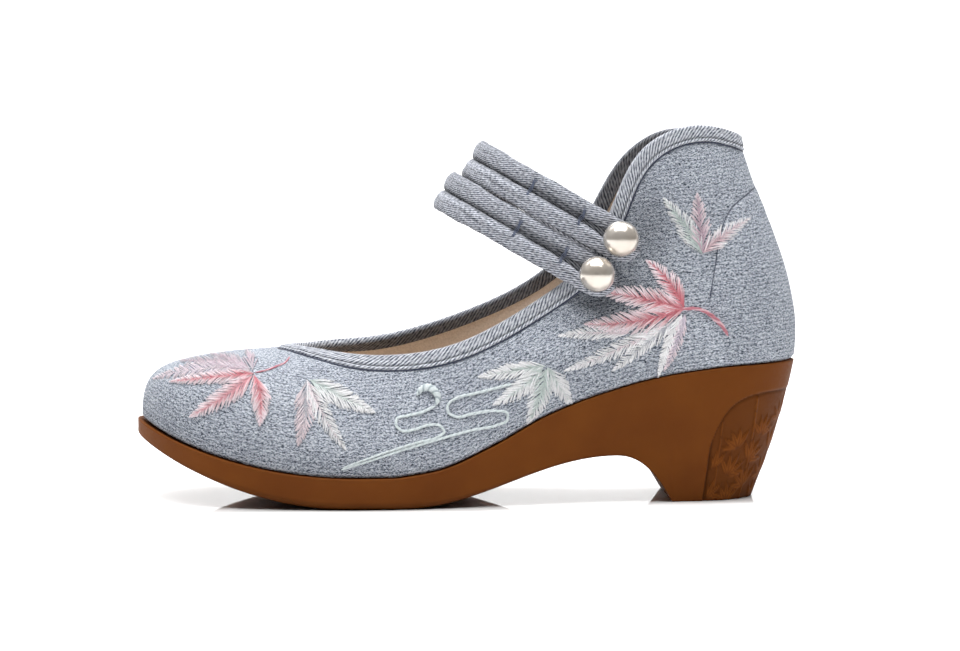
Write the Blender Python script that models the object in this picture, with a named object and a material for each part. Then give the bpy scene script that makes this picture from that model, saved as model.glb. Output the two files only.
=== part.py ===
"""Embroidered mary jane shoe with a moulded heel, left foot, standing on its sole.

The toe points along -X, the outer (lateral) side faces -Y and +Z is up. The origin is on the floor, at the
middle of the shoe's length and width. Sizes are in millimetres and become metres where a mesh is made.

The upper is a sheet of meridians. Each one starts on the feather line, where the upper meets the sole, and
ends on the topline, the edge of the foot opening. The turn of a meridian is 0 at the toe, 90 at mid-length
and 180 at the heel, counted along the lateral side, and goes on to 360 along the medial side.
"""

import math
from collections import namedtuple

import bmesh
import bpy
import numpy as np
from mathutils import Vector
from mathutils.bvhtree import BVHTree

MM = 0.001

# Driving dimensions of the shoe
LENGTH = 245.0
BALL_WIDTH = 84.0
BACK_HEIGHT = 137.0
HEEL_HEIGHT = 51.0
BALL_THICKNESS = 11.4
TOE_LIFT = 19.0

# Distances from the toe tip
FEATHER_TOE = 1.7
FEATHER_HEEL = 243.2
TREAD_START = 78.0
TREAD_END = 98.0
ARCH_TOP = 175.0
BREAST = 196.2
HEEL_FOOT_END = 228.0

# Thicknesses and clearances
GAP = 0.3
WALL = 1.8
TAPE = 0.8
TAPE_WIDTH = 6.0
INSOLE_THICKNESS = 3.0
INSOLE_SIDE_GAP = 0.5
COUNTER_THICKNESS = 0.5

# The sole: its toe spring, arch and the ledge that it shows round the upper
TOE_SPRING = 24.3
TOE_SPRING_POWER = 1.95
ARCH_HEIGHT = 17.4
BREAST_POWER = 2.35
TOE_LIFT_END = 80.0
LEDGE_FRONT = 1.6
LEDGE_HEEL = 0.5
HEEL_BELLY = 1.4

# The recessed panel round the back of the heel
PANEL_START = 213.0
PANEL_TOP = 0.2
PANEL_FALL = 0.4
PANEL_CURVE = 5.0
PANEL_DEPTH = 0.7

# The straps and the pearls that they button on
STRAP_ANGLE = math.radians(29.6)
TUBE_HALF_WIDTH = 3.55
TUBE_HALF_THICKNESS = 1.4
LEG_SPACING = 3.65
LOOP_RADIUS = 4.6
LOOP_REACH = 6.2
LOOP_HALF_WIDTH = 2.6
LOOP_TAPER = 16.0
STRAP_LEAN = 0.14
STRAP_TAIL = 6.0
STRAP_MEDIAL_REACH = 21.3
PEARL_DIAMETER = 13.0
PEARL_CLEARANCE = 7.3
SHANK_RADIUS = 1.3

# How finely the curved forms are divided
UPPER_TURNS = 88
UPPER_LEVELS = 12
SOLE_TURNS = 92
SOLE_STATIONS = (TREAD_START, TREAD_END, 180.0, 186.0, 189.5, 193.0, BREAST)
DENSE_LEVELS = 48

# The sideways shift that centres the shoe, pearls included, on the origin
SIDE_SHIFT = 0.56

# The feather line: widths in percent of the ball width, flare in degrees outwards, rise in millimetres
Feather = namedtuple("Feather", "lateral medial flare rise")
FEATHER = (
    Feather(6.0, 6.0, -1, 22.0),
    Feather(-12.5, 23.5, 0, 22.0),
    Feather(-31.0, 37.0, 2, 20.0),
    Feather(-43.0, 45.5, 4, 18.0),
    Feather(-49.0, 49.5, 6, 16.5),
    Feather(-50.5, 46.0, 8, 15.0),
    Feather(-44.0, 37.0, 8, 14.5),
    Feather(-37.5, 32.0, 6, 15.0),
    Feather(-34.0, 32.0, 5, 17.0),
    Feather(-33.5, 33.0, 6, 23.0),
    Feather(-28.0, 28.0, 8, 28.0),
    Feather(-15.5, 15.5, 9, 30.0),
    Feather(0.0, 0.0, 9, 30.0),
)

# The topline: along in percent of the length, out of the ball width and up of the back height,
# lean in degrees inwards and reach in millimetres
Topline = namedtuple(
    "Topline", "lateral_along lateral_out lateral_up medial_along medial_out medial_up lean reach"
)
TOPLINE = (
    Topline(23.9, 2.4, 40.7, 23.9, 2.4, 40.7, 85, 49.6),
    Topline(24.4, -4.2, 40.8, 24.4, 8.9, 40.7, 85, 47.4),
    Topline(25.9, -11.3, 40.8, 25.9, 16.1, 40.6, 81, 41.0),
    Topline(28.6, -19.6, 40.5, 28.6, 23.2, 40.5, 70, 32.0),
    Topline(33.0, -27.2, 39.9, 33.0, 29.6, 40.5, 48, 24.5),
    Topline(39.8, -31.9, 39.6, 39.6, 32.7, 42.1, 27, 18.0),
    Topline(49.6, -32.7, 42.9, 49.6, 33.3, 47.7, 18, 15.0),
    Topline(60.8, -32.1, 54.5, 60.0, 32.4, 56.9, 12, 15.0),
    Topline(68.2, -31.0, 68.6, 66.9, 31.2, 71.2, 8, 17.0),
    Topline(73.9, -29.5, 88.3, 72.7, 29.5, 88.5, 8, 22.0),
    Topline(80.4, -25.6, 98.1, 79.4, 25.6, 99.3, 10, 25.0),
    Topline(86.3, -16.7, 100.0, 85.7, 16.7, 100.1, 12, 26.0),
    Topline(90.9, 0.0, 97.7, 90.9, 0.0, 97.7, 12, 26.0),
)

# The heel seat: height of the feather line above the ball, in percent of its whole rise to the heel
Seat = namedtuple("Seat", "along rise")
SEAT = (
    Seat(95.0, 0.0),
    Seat(110.0, 6.0),
    Seat(130.0, 27.0),
    Seat(150.0, 54.0),
    Seat(170.0, 73.0),
    Seat(195.0, 89.5),
    Seat(220.0, 97.5),
    Seat(LENGTH, 100.0),
)

# The sole's underside: its width as a share of the top's, and the round of its lower edge
Underside = namedtuple("Underside", "along narrow edge")
UNDERSIDE = (
    Underside(0.0, 0.93, 1.6),
    Underside(40.0, 0.94, 2.8),
    Underside(85.0, 0.95, 3.0),
    Underside(120.0, 0.94, 2.0),
    Underside(155.0, 0.90, 1.2),
    Underside(185.0, 0.82, 0.8),
    Underside(205.0, 0.73, 0.6),
    Underside(LENGTH, 0.72, 0.6),
)

# The heel counter's upper edge, as a share of the meridian, by distance of the feather line from the toe
Counter = namedtuple("Counter", "along top")
COUNTER = (
    Counter(217.0, 0.28),
    Counter(219.5, 0.34),
    Counter(224.0, 0.44),
    Counter(229.0, 0.55),
    Counter(234.0, 0.63),
    Counter(240.0, 0.70),
    Counter(FEATHER_HEEL, 0.765),
)

# Each strap: where its pearl sits on the upper, and how far it rises forward over the instep
Strap = namedtuple("Strap", "name pearl along up rise")
STRAPS = (
    Strap("strap_rear", "pearl_rear", 175.5, 96.0, 58.5),
    Strap("strap_front", "pearl_front", 166.9, 83.4, 60.8),
)

# Colour, roughness and metallic value of each material
Finish = namedtuple("Finish", "red green blue roughness metallic")
FINISHES = {
    "moulded_rubber": Finish(0.180, 0.058, 0.014, 0.45, 0.0),
    "crepe_cloth": Finish(0.300, 0.350, 0.440, 0.90, 0.0),
    "twill_tape": Finish(0.230, 0.250, 0.330, 0.85, 0.0),
    "insole_cloth": Finish(0.420, 0.310, 0.210, 0.90, 0.0),
    "pearl_coat": Finish(0.860, 0.820, 0.740, 0.18, 0.0),
}


def hermite(low, high, slope_low, slope_high, share):
    """Cubic between two values with given slopes, for a share of the way between them."""
    s2, s3 = share**2, share**3
    return (
        low * (2 * s3 - 3 * s2 + 1)
        + slope_low * (s3 - 2 * s2 + share)
        + high * (3 * s2 - 2 * s3)
        + slope_high * (s3 - s2)
    )


def through(knots, values, place):
    """Smooth curve through a table's column that never overshoots its values."""
    knots, values = np.asarray(knots, float), np.asarray(values, float)
    step = np.diff(knots)
    grade = np.diff(values) / step
    slope = np.zeros(len(knots))
    rising = grade[:-1] * grade[1:] > 0
    mean = 2 * grade[:-1] * grade[1:] / np.where(rising, grade[:-1] + grade[1:], 1.0)
    slope[1:-1] = np.where(rising, mean, 0.0)
    slope[0], slope[-1] = grade[0], grade[-1]
    place = np.clip(place, knots[0], knots[-1])
    left = np.clip(np.searchsorted(knots, place, side="right") - 1, 0, len(step) - 1)
    width = step[left]
    share = (place - knots[left]) / width
    return hermite(values[left], values[left + 1], slope[left] * width, slope[left + 1] * width, share)


def around(lateral, medial, turns):
    """Smooth closed curve round the shoe through the lateral and the medial column of a table."""
    ring = np.array(list(lateral) + list(medial)[-2:0:-1], float)
    count = len(ring)
    links = 4 * np.eye(count) + np.roll(np.eye(count), 1, 0) + np.roll(np.eye(count), -1, 0)
    slope = np.linalg.solve(links, 3 * (np.roll(ring, -1) - np.roll(ring, 1)))
    place = np.asarray(turns, float) / 360.0 * count
    left = np.floor(place).astype(int)
    share = place - left
    left = left % count
    right = (left + 1) % count
    return hermite(ring[left], ring[right], slope[left], slope[right], share)


def both_sides(table, name, turns):
    """A column that is the same on the lateral and the medial side."""
    column = [getattr(row, name) for row in table]
    return around(column, column, turns)


def feather_height(along):
    """Height of the sole's upper face: toe lift, level ball, then the ramp to the heel seat."""
    toe = TOE_LIFT * np.clip(1 - along / TOE_LIFT_END, 0, None) ** 2
    ramp = through([row.along for row in SEAT], [row.rise for row in SEAT], along)
    return BALL_THICKNESS + toe + ramp / 100 * (HEEL_HEIGHT - BALL_THICKNESS)


def tread_height(along):
    """Height of the underside: toe spring, level tread, arch, curved breast and level heel."""
    toe = TOE_SPRING * np.clip(1 - along / TREAD_START, 0, None) ** TOE_SPRING_POWER
    up_arch = np.clip((along - TREAD_END) / (ARCH_TOP - TREAD_END), 0, 1)
    down_breast = np.clip((along - ARCH_TOP) / (BREAST - ARCH_TOP), 0, 1)
    return toe + ARCH_HEIGHT * (1 - np.cos(math.pi * up_arch)) / 2 * (1 - down_breast**BREAST_POWER)


def feather_along(turns):
    """Distance of the feather line from the toe tip."""
    return FEATHER_TOE + (FEATHER_HEEL - FEATHER_TOE) * (1 - np.cos(np.radians(turns))) / 2


def turn_at(along):
    """The lateral turn whose feather line lies this far from the toe tip."""
    share = (along - FEATHER_TOE) / (FEATHER_HEEL - FEATHER_TOE)
    return math.degrees(math.acos(1 - 2 * share))


def feather_line(turns):
    """Plan points of the feather line, as distance from the toe tip and sideways."""
    out = around([row.lateral for row in FEATHER], [row.medial for row in FEATHER], turns)
    return np.stack([feather_along(turns), out / 100 * BALL_WIDTH], -1)


def topline(turns):
    """Points of the edge of the foot opening."""
    columns = []
    for part, size in (("along", LENGTH), ("out", BALL_WIDTH), ("up", BACK_HEIGHT)):
        lateral = [getattr(row, "lateral_" + part) for row in TOPLINE]
        medial = [getattr(row, "medial_" + part) for row in TOPLINE]
        columns.append(around(lateral, medial, turns) / 100 * size)
    return np.stack(columns, -1)


def unit(vectors):
    return vectors / np.linalg.norm(vectors, axis=-1, keepdims=True)


def plan_frame(curve, turns):
    """Unit tangent and inward normal, in plan, of a curve round the shoe."""
    nudge = 0.05
    tangent = unit((curve(turns + nudge) - curve(turns - nudge))[..., :2])
    return tangent, np.stack([-tangent[..., 1], tangent[..., 0]], -1)


def meridians(turns):
    """Dense points of the upper's outer face: one meridian a row, from feather line to topline."""
    turns = np.asarray(turns, float)
    plan = feather_line(turns)
    start = np.concatenate([plan, (feather_height(plan[:, 0]) + GAP)[:, None]], -1)
    end = topline(turns)
    low_tangent, low_inward = plan_frame(feather_line, turns)
    top_tangent, top_inward = plan_frame(topline, turns)
    chord = (end - start)[:, :2]
    rise = both_sides(FEATHER, "rise", turns)
    flare = np.tan(np.radians(both_sides(FEATHER, "flare", turns)))
    reach = both_sides(TOPLINE, "reach", turns)
    lean = np.radians(both_sides(TOPLINE, "lean", turns))
    low_slide = low_tangent * (chord * low_tangent).sum(-1, keepdims=True) / 3
    top_slide = top_tangent * (chord * top_tangent).sum(-1, keepdims=True) / 3
    low_plan = start[:, :2] + low_slide - low_inward * (rise * flare)[:, None]
    top_plan = end[:, :2] - top_slide - top_inward * (reach * np.sin(lean))[:, None]
    low = np.concatenate([low_plan, (start[:, 2] + rise)[:, None]], -1)
    top = np.concatenate([top_plan, (end[:, 2] - reach * np.cos(lean))[:, None]], -1)
    s = np.linspace(0, 1, DENSE_LEVELS + 1)[None, :, None]
    corners = [point[:, None, :] for point in (start, low, top, end)]
    return (
        corners[0] * (1 - s) ** 3
        + 3 * corners[1] * s * (1 - s) ** 2
        + 3 * corners[2] * s**2 * (1 - s)
        + corners[3] * s**3
    )


def along_meridians(turns, distances):
    """Points and outward normals at given distances up each meridian, a row of distances for each."""
    nudge = 0.2
    dense = meridians(turns)
    across = meridians(np.asarray(turns) + nudge) - meridians(np.asarray(turns) - nudge)
    normal = unit(np.cross(across, np.gradient(dense, axis=1)))
    steps = np.linalg.norm(np.diff(dense, axis=1), axis=-1)
    length = np.concatenate([np.zeros((len(dense), 1)), np.cumsum(steps, 1)], 1)
    points = np.empty(distances.shape + (3,))
    normals = np.empty(distances.shape + (3,))
    for row in range(len(dense)):
        for k in range(3):
            points[row, :, k] = np.interp(distances[row], length[row], dense[row, :, k])
            normals[row, :, k] = np.interp(distances[row], length[row], normal[row, :, k])
    return points, unit(normals)


def meridian_lengths(turns):
    dense = meridians(turns)
    return np.linalg.norm(np.diff(dense, axis=1), axis=-1).sum(1)


def place(points):
    """Shoe points, in millimetres from the toe tip, as metres from the origin."""
    moved = np.array(points, float)
    moved[..., 0] -= LENGTH / 2
    moved[..., 1] += SIDE_SHIFT
    return moved * MM


def material(name):
    finish = FINISHES[name]
    made = bpy.data.materials.get(name) or bpy.data.materials.new(name)
    made.use_nodes = True
    shader = made.node_tree.nodes["Principled BSDF"]
    shader.inputs["Base Color"].default_value = (finish.red, finish.green, finish.blue, 1.0)
    shader.inputs["Roughness"].default_value = finish.roughness
    shader.inputs["Metallic"].default_value = finish.metallic
    return made


def add_object(name, bm, finish):
    """A named object from a mesh in progress, shaded smooth apart from its sharp edges."""
    sharp_angle = math.radians(40)
    bmesh.ops.recalc_face_normals(bm, faces=bm.faces)
    mesh = bpy.data.meshes.new(name)
    bm.to_mesh(mesh)
    bm.free()
    mesh.materials.append(material(finish))
    mesh.shade_smooth()
    mesh.set_sharp_from_angle(angle=sharp_angle)
    made = bpy.data.objects.new(name, mesh)
    bpy.context.scene.collection.objects.link(made)
    return made


def skin(rings, closed_rings=True, closed_run=False):
    """Quads between consecutive rings of points; returns the mesh in progress and its rings of vertices."""
    bm = bmesh.new()
    rows = [[bm.verts.new(point) for point in place(ring)] for ring in rings]
    runs = list(zip(rows, rows[1:] + rows[:1])) if closed_run else list(zip(rows, rows[1:]))
    for first, second in runs:
        count = len(first)
        for k in range(count if closed_rings else count - 1):
            following = (k + 1) % count
            bm.faces.new((first[k], first[following], second[following], second[k]))
    return bm, rows


def ladder(bm, ring):
    """Closes a ring that runs from toe to heel and back with rungs straight across it."""
    count = len(ring)
    half = count // 2
    for k in range(half):
        corners = [ring[k], ring[k + 1], ring[(count - k - 1) % count], ring[(count - k) % count]]
        bm.faces.new(list(dict.fromkeys(corners)))


def even_turns(count):
    return np.arange(count) * 360.0 / count


def sole_turns():
    """Turns for the sole: evenly spaced, with more at the tread's ends and down the breast."""
    extra = [turn_at(along) for along in SOLE_STATIONS]
    evenly = np.arange(SOLE_TURNS // 2 + 1) * 360.0 / SOLE_TURNS
    clear = [turn for turn in evenly if min(abs(turn - other) for other in extra) > 1.0]
    lateral = np.sort(np.array(clear + extra))
    return np.concatenate([lateral, 360 - lateral[-2:0:-1]])


def sole_edges(turns):
    """The sole's upper and lower edge, the lower edge's round, the outward normal and how far back it is."""
    plan = feather_line(turns)
    inward = plan_frame(feather_line, turns)[1]
    heelward = np.clip((plan[:, 0] - BREAST) / (FEATHER_HEEL - BREAST), 0, 1)
    ledge = LEDGE_FRONT + (LEDGE_HEEL - LEDGE_FRONT) * np.clip(plan[:, 0] / BREAST, 0, 1) ** 3
    rim = plan - inward * ledge[:, None]
    upper_edge = np.concatenate([rim, feather_height(plan[:, 0])[:, None]], -1)
    narrow = through([row.along for row in UNDERSIDE], [row.narrow for row in UNDERSIDE], rim[:, 0])
    round_edge = through([row.along for row in UNDERSIDE], [row.edge for row in UNDERSIDE], rim[:, 0])
    middle = (rim[:, 1] + feather_line(360 - turns)[:, 1]) / 2
    heel_squeeze = (HEEL_FOOT_END - BREAST) / (FEATHER_HEEL + LEDGE_HEEL - BREAST)
    along = np.where(rim[:, 0] > BREAST, BREAST + (rim[:, 0] - BREAST) * heel_squeeze, rim[:, 0])
    lower_edge = np.stack([along, middle + (rim[:, 1] - middle) * narrow, tread_height(plan[:, 0])], -1)
    return upper_edge, lower_edge, round_edge, -inward, heelward


def sole_wall(turns, depths, swell=0.0):
    """Points of the sole's side at given shares of its depth, moved outwards by swell."""
    upper_edge, lower_edge, _, outward, heelward = sole_edges(turns)
    depths = np.asarray(depths, float)
    points = upper_edge[:, None] + (lower_edge - upper_edge)[:, None] * depths[..., None]
    belly = HEEL_BELLY * heelward[:, None] * 4 * depths * (1 - depths)
    points[..., :2] += outward[:, None] * (belly + swell)[..., None]
    return points


def build_sole():
    """Moulded unit sole: toe spring, tread, arch and tapered heel in one, with a recessed heel panel."""
    wall_shares = (0.0, 0.3, 0.65, 1.0)
    half_round = 0.3
    turns = sole_turns()
    upper_edge, lower_edge, round_edge, outward, _ = sole_edges(turns)
    depth = (upper_edge - lower_edge)[:, 2]
    rounding = round_edge / depth
    depths = [share * (1 - rounding) for share in wall_shares] + [1 - half_round * rounding]
    rings = [sole_wall(turns, level[:, None])[:, 0] for level in depths]
    rings[-1][:, :2] -= outward * (half_round * round_edge)[:, None]
    foot = lower_edge.copy()
    foot[:, :2] -= outward * round_edge[:, None]
    rings.append(foot)
    bm, rows = skin(rings)
    ladder(bm, rows[0])
    ladder(bm, rows[-1])
    sole = add_object("outsole", bm, "moulded_rubber")
    recess = sole.modifiers.new("heel_panel", "BOOLEAN")
    recess.operation = "DIFFERENCE"
    recess.solver = "EXACT"
    recess.object = build_panel_cutter()
    return sole


def panel_top(turns):
    """Share of the sole's depth at which the heel panel starts."""
    along = feather_along(turns)
    return PANEL_TOP + PANEL_FALL * np.exp(-(along - PANEL_START) / PANEL_CURVE)


def build_panel_cutter():
    """Cutter for the heel panel: a shell over the heel's side, from the panel's edge down past the floor."""
    columns, levels = 30, 8
    past_floor, past_side = 1.1, 4.0
    start = turn_at(PANEL_START)
    turns = np.linspace(start, 360 - start, columns + 1)
    top = panel_top(turns)
    depths = top[:, None] + (past_floor - top)[:, None] * np.linspace(0, 1, levels + 1)
    inner = sole_wall(turns, depths, -PANEL_DEPTH)
    outer = sole_wall(turns, depths, past_side)
    rings = [np.concatenate([inner[k], outer[k][::-1]]) for k in range(columns + 1)]
    bm, rows = skin(rings)
    for row in (rows[0], rows[-1]):
        for k in range(levels):
            bm.faces.new((row[k], row[k + 1], row[-2 - k], row[-1 - k]))
    cutter = add_object("heel_panel_cutter", bm, "moulded_rubber")
    cutter.hide_render = True
    cutter.display_type = "WIRE"
    return cutter


def build_upper():
    """The upper: one sheet from feather line to topline, thickened inwards to its wall."""
    turns = even_turns(UPPER_TURNS)
    edge_drop = GAP + TAPE
    shares = np.linspace(0, 1, UPPER_LEVELS + 1)
    distances = (meridian_lengths(turns) - edge_drop)[:, None] * shares
    points, _ = along_meridians(turns, distances)
    bm, _ = skin([points[:, level] for level in range(UPPER_LEVELS + 1)])
    upper = add_object("upper", bm, "crepe_cloth")
    outward = [face.normal.dot(face.center * Vector((1, 1, 0))) for face in upper.data.polygons]
    if sum(outward) < 0:
        upper.data.flip_normals()
    wall = upper.modifiers.new("wall", "SOLIDIFY")
    wall.thickness = WALL * MM
    wall.offset = -1.0
    wall.use_rim = True
    return upper


def build_binding():
    """Twill tape folded over the topline, outside and inside."""
    fold = 0.2
    turns = even_turns(UPPER_TURNS)
    drops = np.array([TAPE_WIDTH, GAP + TAPE])
    points, normals = along_meridians(turns, meridian_lengths(turns)[:, None] - drops)
    low, edge = points[:, 0], points[:, 1]
    low_out, edge_out = normals[:, 0], normals[:, 1]
    over = unit(edge - low)
    outside, inside = GAP, -WALL - GAP
    rings = [
        low + low_out * outside,
        low + low_out * (outside + TAPE),
        edge + edge_out * (outside + TAPE),
        edge + over * (GAP + TAPE) + edge_out * (outside - fold),
        edge + over * (GAP + TAPE) + edge_out * (inside + fold),
        edge + edge_out * (inside - TAPE),
        low + low_out * (inside - TAPE),
        low + low_out * inside,
        edge + over * GAP + edge_out * inside,
        edge + over * GAP + edge_out * outside,
    ]
    bm, _ = skin(rings, closed_run=True)
    return add_object("topline_binding", bm, "twill_tape")


def build_counter():
    """Heel counter: a thin patch on the upper, cut between two forms from the upper's own function."""
    columns, levels = 26, 7
    start = turn_at(COUNTER[0].along)
    turns = np.linspace(start, 360 - start, columns + 1)
    top = through([row.along for row in COUNTER], [row.top for row in COUNTER], feather_along(turns))
    length = meridian_lengths(turns)
    distances = (length * top)[:, None] * np.linspace(0, 1, levels + 1) + GAP
    points, normals = along_meridians(turns, distances)
    under = points + normals * GAP
    over = points + normals * (GAP + COUNTER_THICKNESS)
    rings = [np.concatenate([under[k], over[k][::-1]]) for k in range(columns + 1)]
    bm, rows = skin(rings)
    for row in (rows[0], rows[-1]):
        for k in range(levels):
            bm.faces.new((row[k], row[k + 1], row[-2 - k], row[-1 - k]))
    return add_object("heel_counter", bm, "crepe_cloth")


def build_insole():
    """Insole: a plate on the sole's upper face, clear of the upper's wall."""
    turns = even_turns(UPPER_TURNS)
    _, inward = plan_frame(feather_line, turns)
    plan = feather_line(turns) + inward * (WALL + INSOLE_SIDE_GAP)
    seat = feather_height(plan[:, 0]) + GAP
    under = np.concatenate([plan, seat[:, None]], -1)
    over = np.concatenate([plan, (seat + INSOLE_THICKNESS)[:, None]], -1)
    bm, rows = skin([under, over])
    ladder(bm, rows[0])
    ladder(bm, rows[1])
    return add_object("insole", bm, "insole_cloth")


def upper_surface(upper):
    """The upper's outer sheet as a tree to cast rays on."""
    mesh = upper.data
    return BVHTree.FromPolygons([v.co for v in mesh.vertices], [p.vertices for p in mesh.polygons])


def lateral_spot(tree, along, up):
    """Point of the upper's lateral side at a distance from the toe and a height."""
    far_out = -100.0
    start = place([along, far_out, up])
    hit = tree.ray_cast(Vector(start), Vector((0, 1, 0)))[0]
    return np.array(hit) / MM + [LENGTH / 2, -SIDE_SHIFT, 0.0]


def strap_axes():
    """Directions of a strap's slope, forward and up, and of its width."""
    slope = np.array([-math.cos(STRAP_ANGLE), 0.0, math.sin(STRAP_ANGLE)])
    across = np.array([math.sin(STRAP_ANGLE), 0.0, math.cos(STRAP_ANGLE)])
    return slope, across


def strap_frame(spot, standoff, rise, run):
    """Centre, normal and width direction of a strap at a run along it, and its full run.

    The run is 0 at the pearl and grows over the instep. The strap is half an ellipse on a slope, with
    straight ends.
    """
    slope, across = strap_axes()
    lateral_reach = standoff - spot[1]
    quarter = math.pi / 2 * (rise + lateral_reach) / 2
    angle = np.clip(run / quarter, 0, 2) * math.pi / 2
    tail = min(run, 0.0) - max(run - 2 * quarter, 0.0)
    reach = lateral_reach if angle <= math.pi / 2 else STRAP_MEDIAL_REACH
    centre = spot * [1, 0, 1] + slope * (rise * math.sin(angle) + tail)
    centre = centre + np.array([0, -reach * math.cos(angle), 0])
    flat = slope * math.sin(angle) / rise + np.array([0, -math.cos(angle) / reach, 0])
    normal = unit(unit(flat) + across * STRAP_LEAN * math.cos(angle) ** 2)
    heading = unit(slope * rise * math.cos(angle) + np.array([0, reach * math.sin(angle), 0]))
    return centre, normal, unit(np.cross(normal, heading)), 2 * quarter


def hairpin(full_run):
    """Plan of a strap's tube: along a leg, round the pearl and back, as run, sideways and half width."""
    leg_steps, loop_steps, crowding = 20, 8, 0.9
    end_run = full_run + STRAP_TAIL
    leg = end_run * (1 - np.linspace(0, 1, leg_steps + 1) ** crowding)
    spread = np.clip(1 - leg / LOOP_TAPER, 0, 1)
    ease = spread**2 * (3 - 2 * spread)
    sideways = LEG_SPACING + (LOOP_RADIUS - LEG_SPACING) * ease
    half_width = TUBE_HALF_WIDTH + (LOOP_HALF_WIDTH - TUBE_HALF_WIDTH) * ease
    bend = np.linspace(0, math.pi, loop_steps + 1)[1:-1]
    rows = [(run, side, width) for run, side, width in zip(leg, sideways, half_width)]
    rows += [(-LOOP_REACH * math.sin(a), LOOP_RADIUS * math.cos(a), LOOP_HALF_WIDTH) for a in bend]
    rows += [(run, -side, width) for run, side, width in zip(leg[::-1], sideways[::-1], half_width[::-1])]
    return np.array(rows)


def build_strap(strap, tree):
    """A folded tube of twill: two legs side by side over the instep, with a loop round the pearl's shank."""
    section_points = 10
    standoff = GAP + TAPE + GAP + TUBE_HALF_THICKNESS
    spot = lateral_spot(tree, strap.along, strap.up)
    full_run = strap_frame(spot, standoff, strap.rise, 0.0)[3]
    plan = hairpin(full_run)
    heading = unit(np.gradient(plan[:, :2], axis=0))
    around_tube = np.linspace(0, 2 * math.pi, section_points, endpoint=False)
    rings = []
    for (run, side, half_width), (run_step, side_step) in zip(plan, heading):
        ring = []
        for a in around_tube:
            shift = half_width * math.cos(a)
            at_run = run - side_step * shift
            at_side = side + run_step * shift
            centre, normal, width, _ = strap_frame(spot, standoff, strap.rise, at_run)
            ring.append(centre + width * at_side + normal * TUBE_HALF_THICKNESS * math.sin(a))
        rings.append(ring)
    bm, rows = skin(rings)
    bm.faces.new(rows[0])
    bm.faces.new(rows[-1])
    return add_object(strap.name, bm, "twill_tape")


def build_pearl(strap, tree):
    """A pearl on its thread shank, standing on the edge of the binding through the strap's loop."""
    sides, bands = 16, 10
    radius = PEARL_DIAMETER / 2
    spot = lateral_spot(tree, strap.along, strap.up)
    standoff = GAP + TAPE + GAP + TUBE_HALF_THICKNESS
    centre_on_strap, normal, _, _ = strap_frame(spot, standoff, strap.rise, 0.0)
    centre = centre_on_strap + normal * PEARL_CLEARANCE
    side = unit(np.cross(normal, [0.0, 0.0, 1.0]))
    other = np.cross(normal, side)
    foot = -(PEARL_CLEARANCE + TUBE_HALF_THICKNESS)
    neck = math.asin(SHANK_RADIUS / radius)
    profile = [(SHANK_RADIUS, foot)]
    for k in range(bands):
        a = neck + (math.pi - neck) * k / bands
        profile.append((radius * math.sin(a), -radius * math.cos(a)))
    turn = np.linspace(0, 2 * math.pi, sides, endpoint=False)
    rings = [
        [centre + normal * height + (side * math.cos(a) + other * math.sin(a)) * across for a in turn]
        for across, height in profile
    ]
    bm, rows = skin(rings)
    bm.faces.new(rows[0])
    pole = bm.verts.new(place(centre + normal * radius))
    for k in range(sides):
        bm.faces.new((rows[-1][k], rows[-1][(k + 1) % sides], pole))
    return add_object(strap.pearl, bm, "pearl_coat")


def main():
    for old in list(bpy.data.objects):
        bpy.data.objects.remove(old)
    build_sole()
    build_insole()
    upper = build_upper()
    build_binding()
    build_counter()
    tree = upper_surface(upper)
    for strap in STRAPS:
        build_strap(strap, tree)
        build_pearl(strap, tree)


main()
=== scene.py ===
import math
from collections import namedtuple

import bpy
import numpy as np
from mathutils import Matrix, Vector
from mathutils.bvhtree import BVHTree


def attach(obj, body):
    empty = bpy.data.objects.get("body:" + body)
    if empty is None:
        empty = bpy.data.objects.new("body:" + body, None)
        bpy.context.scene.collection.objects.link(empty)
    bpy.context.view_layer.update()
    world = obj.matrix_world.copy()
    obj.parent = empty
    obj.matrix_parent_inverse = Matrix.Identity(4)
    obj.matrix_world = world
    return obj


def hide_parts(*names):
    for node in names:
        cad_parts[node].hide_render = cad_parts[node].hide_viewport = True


# Looks of the embroidered mary jane shoe: cloth, tape, embroidery, moulded sole, pearls, light and camera.
# Sizes are in millimetres from the toe tip, as in the part's source, and metres where a mesh is made.
# The turn of a meridian is 0 at the toe, 90 at mid-length and 180 at the heel, along the lateral side.

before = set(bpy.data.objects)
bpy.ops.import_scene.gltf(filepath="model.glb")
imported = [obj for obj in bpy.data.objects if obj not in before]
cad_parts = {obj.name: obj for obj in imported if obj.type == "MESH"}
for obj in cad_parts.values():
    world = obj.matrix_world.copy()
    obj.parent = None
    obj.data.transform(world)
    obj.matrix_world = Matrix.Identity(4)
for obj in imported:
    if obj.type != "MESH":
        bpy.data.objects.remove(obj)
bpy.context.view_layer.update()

MM = 0.001

# Shape of the last, sole and straps, as in the part's source
LENGTH = 245.0
BALL_WIDTH = 84.0
BACK_HEIGHT = 137.0
HEEL_HEIGHT = 51.0
BALL_THICKNESS = 11.4
TOE_LIFT = 19.0
FEATHER_TOE = 1.7
FEATHER_HEEL = 243.2
TREAD_START = 78.0
TREAD_END = 98.0
ARCH_TOP = 175.0
BREAST = 196.2
HEEL_FOOT_END = 228.0
GAP = 0.3
WALL = 1.8
TAPE = 0.8
TAPE_WIDTH = 6.0
INSOLE_THICKNESS = 3.0
INSOLE_SIDE_GAP = 0.5
TOE_SPRING = 24.3
TOE_SPRING_POWER = 1.95
ARCH_HEIGHT = 17.4
BREAST_POWER = 2.35
TOE_LIFT_END = 80.0
LEDGE_FRONT = 1.6
LEDGE_HEEL = 0.5
HEEL_BELLY = 1.4
PANEL_START = 213.0
PANEL_TOP = 0.2
PANEL_FALL = 0.4
PANEL_CURVE = 5.0
PANEL_DEPTH = 0.7
STRAP_ANGLE = math.radians(29.6)
TUBE_HALF_WIDTH = 3.55
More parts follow.
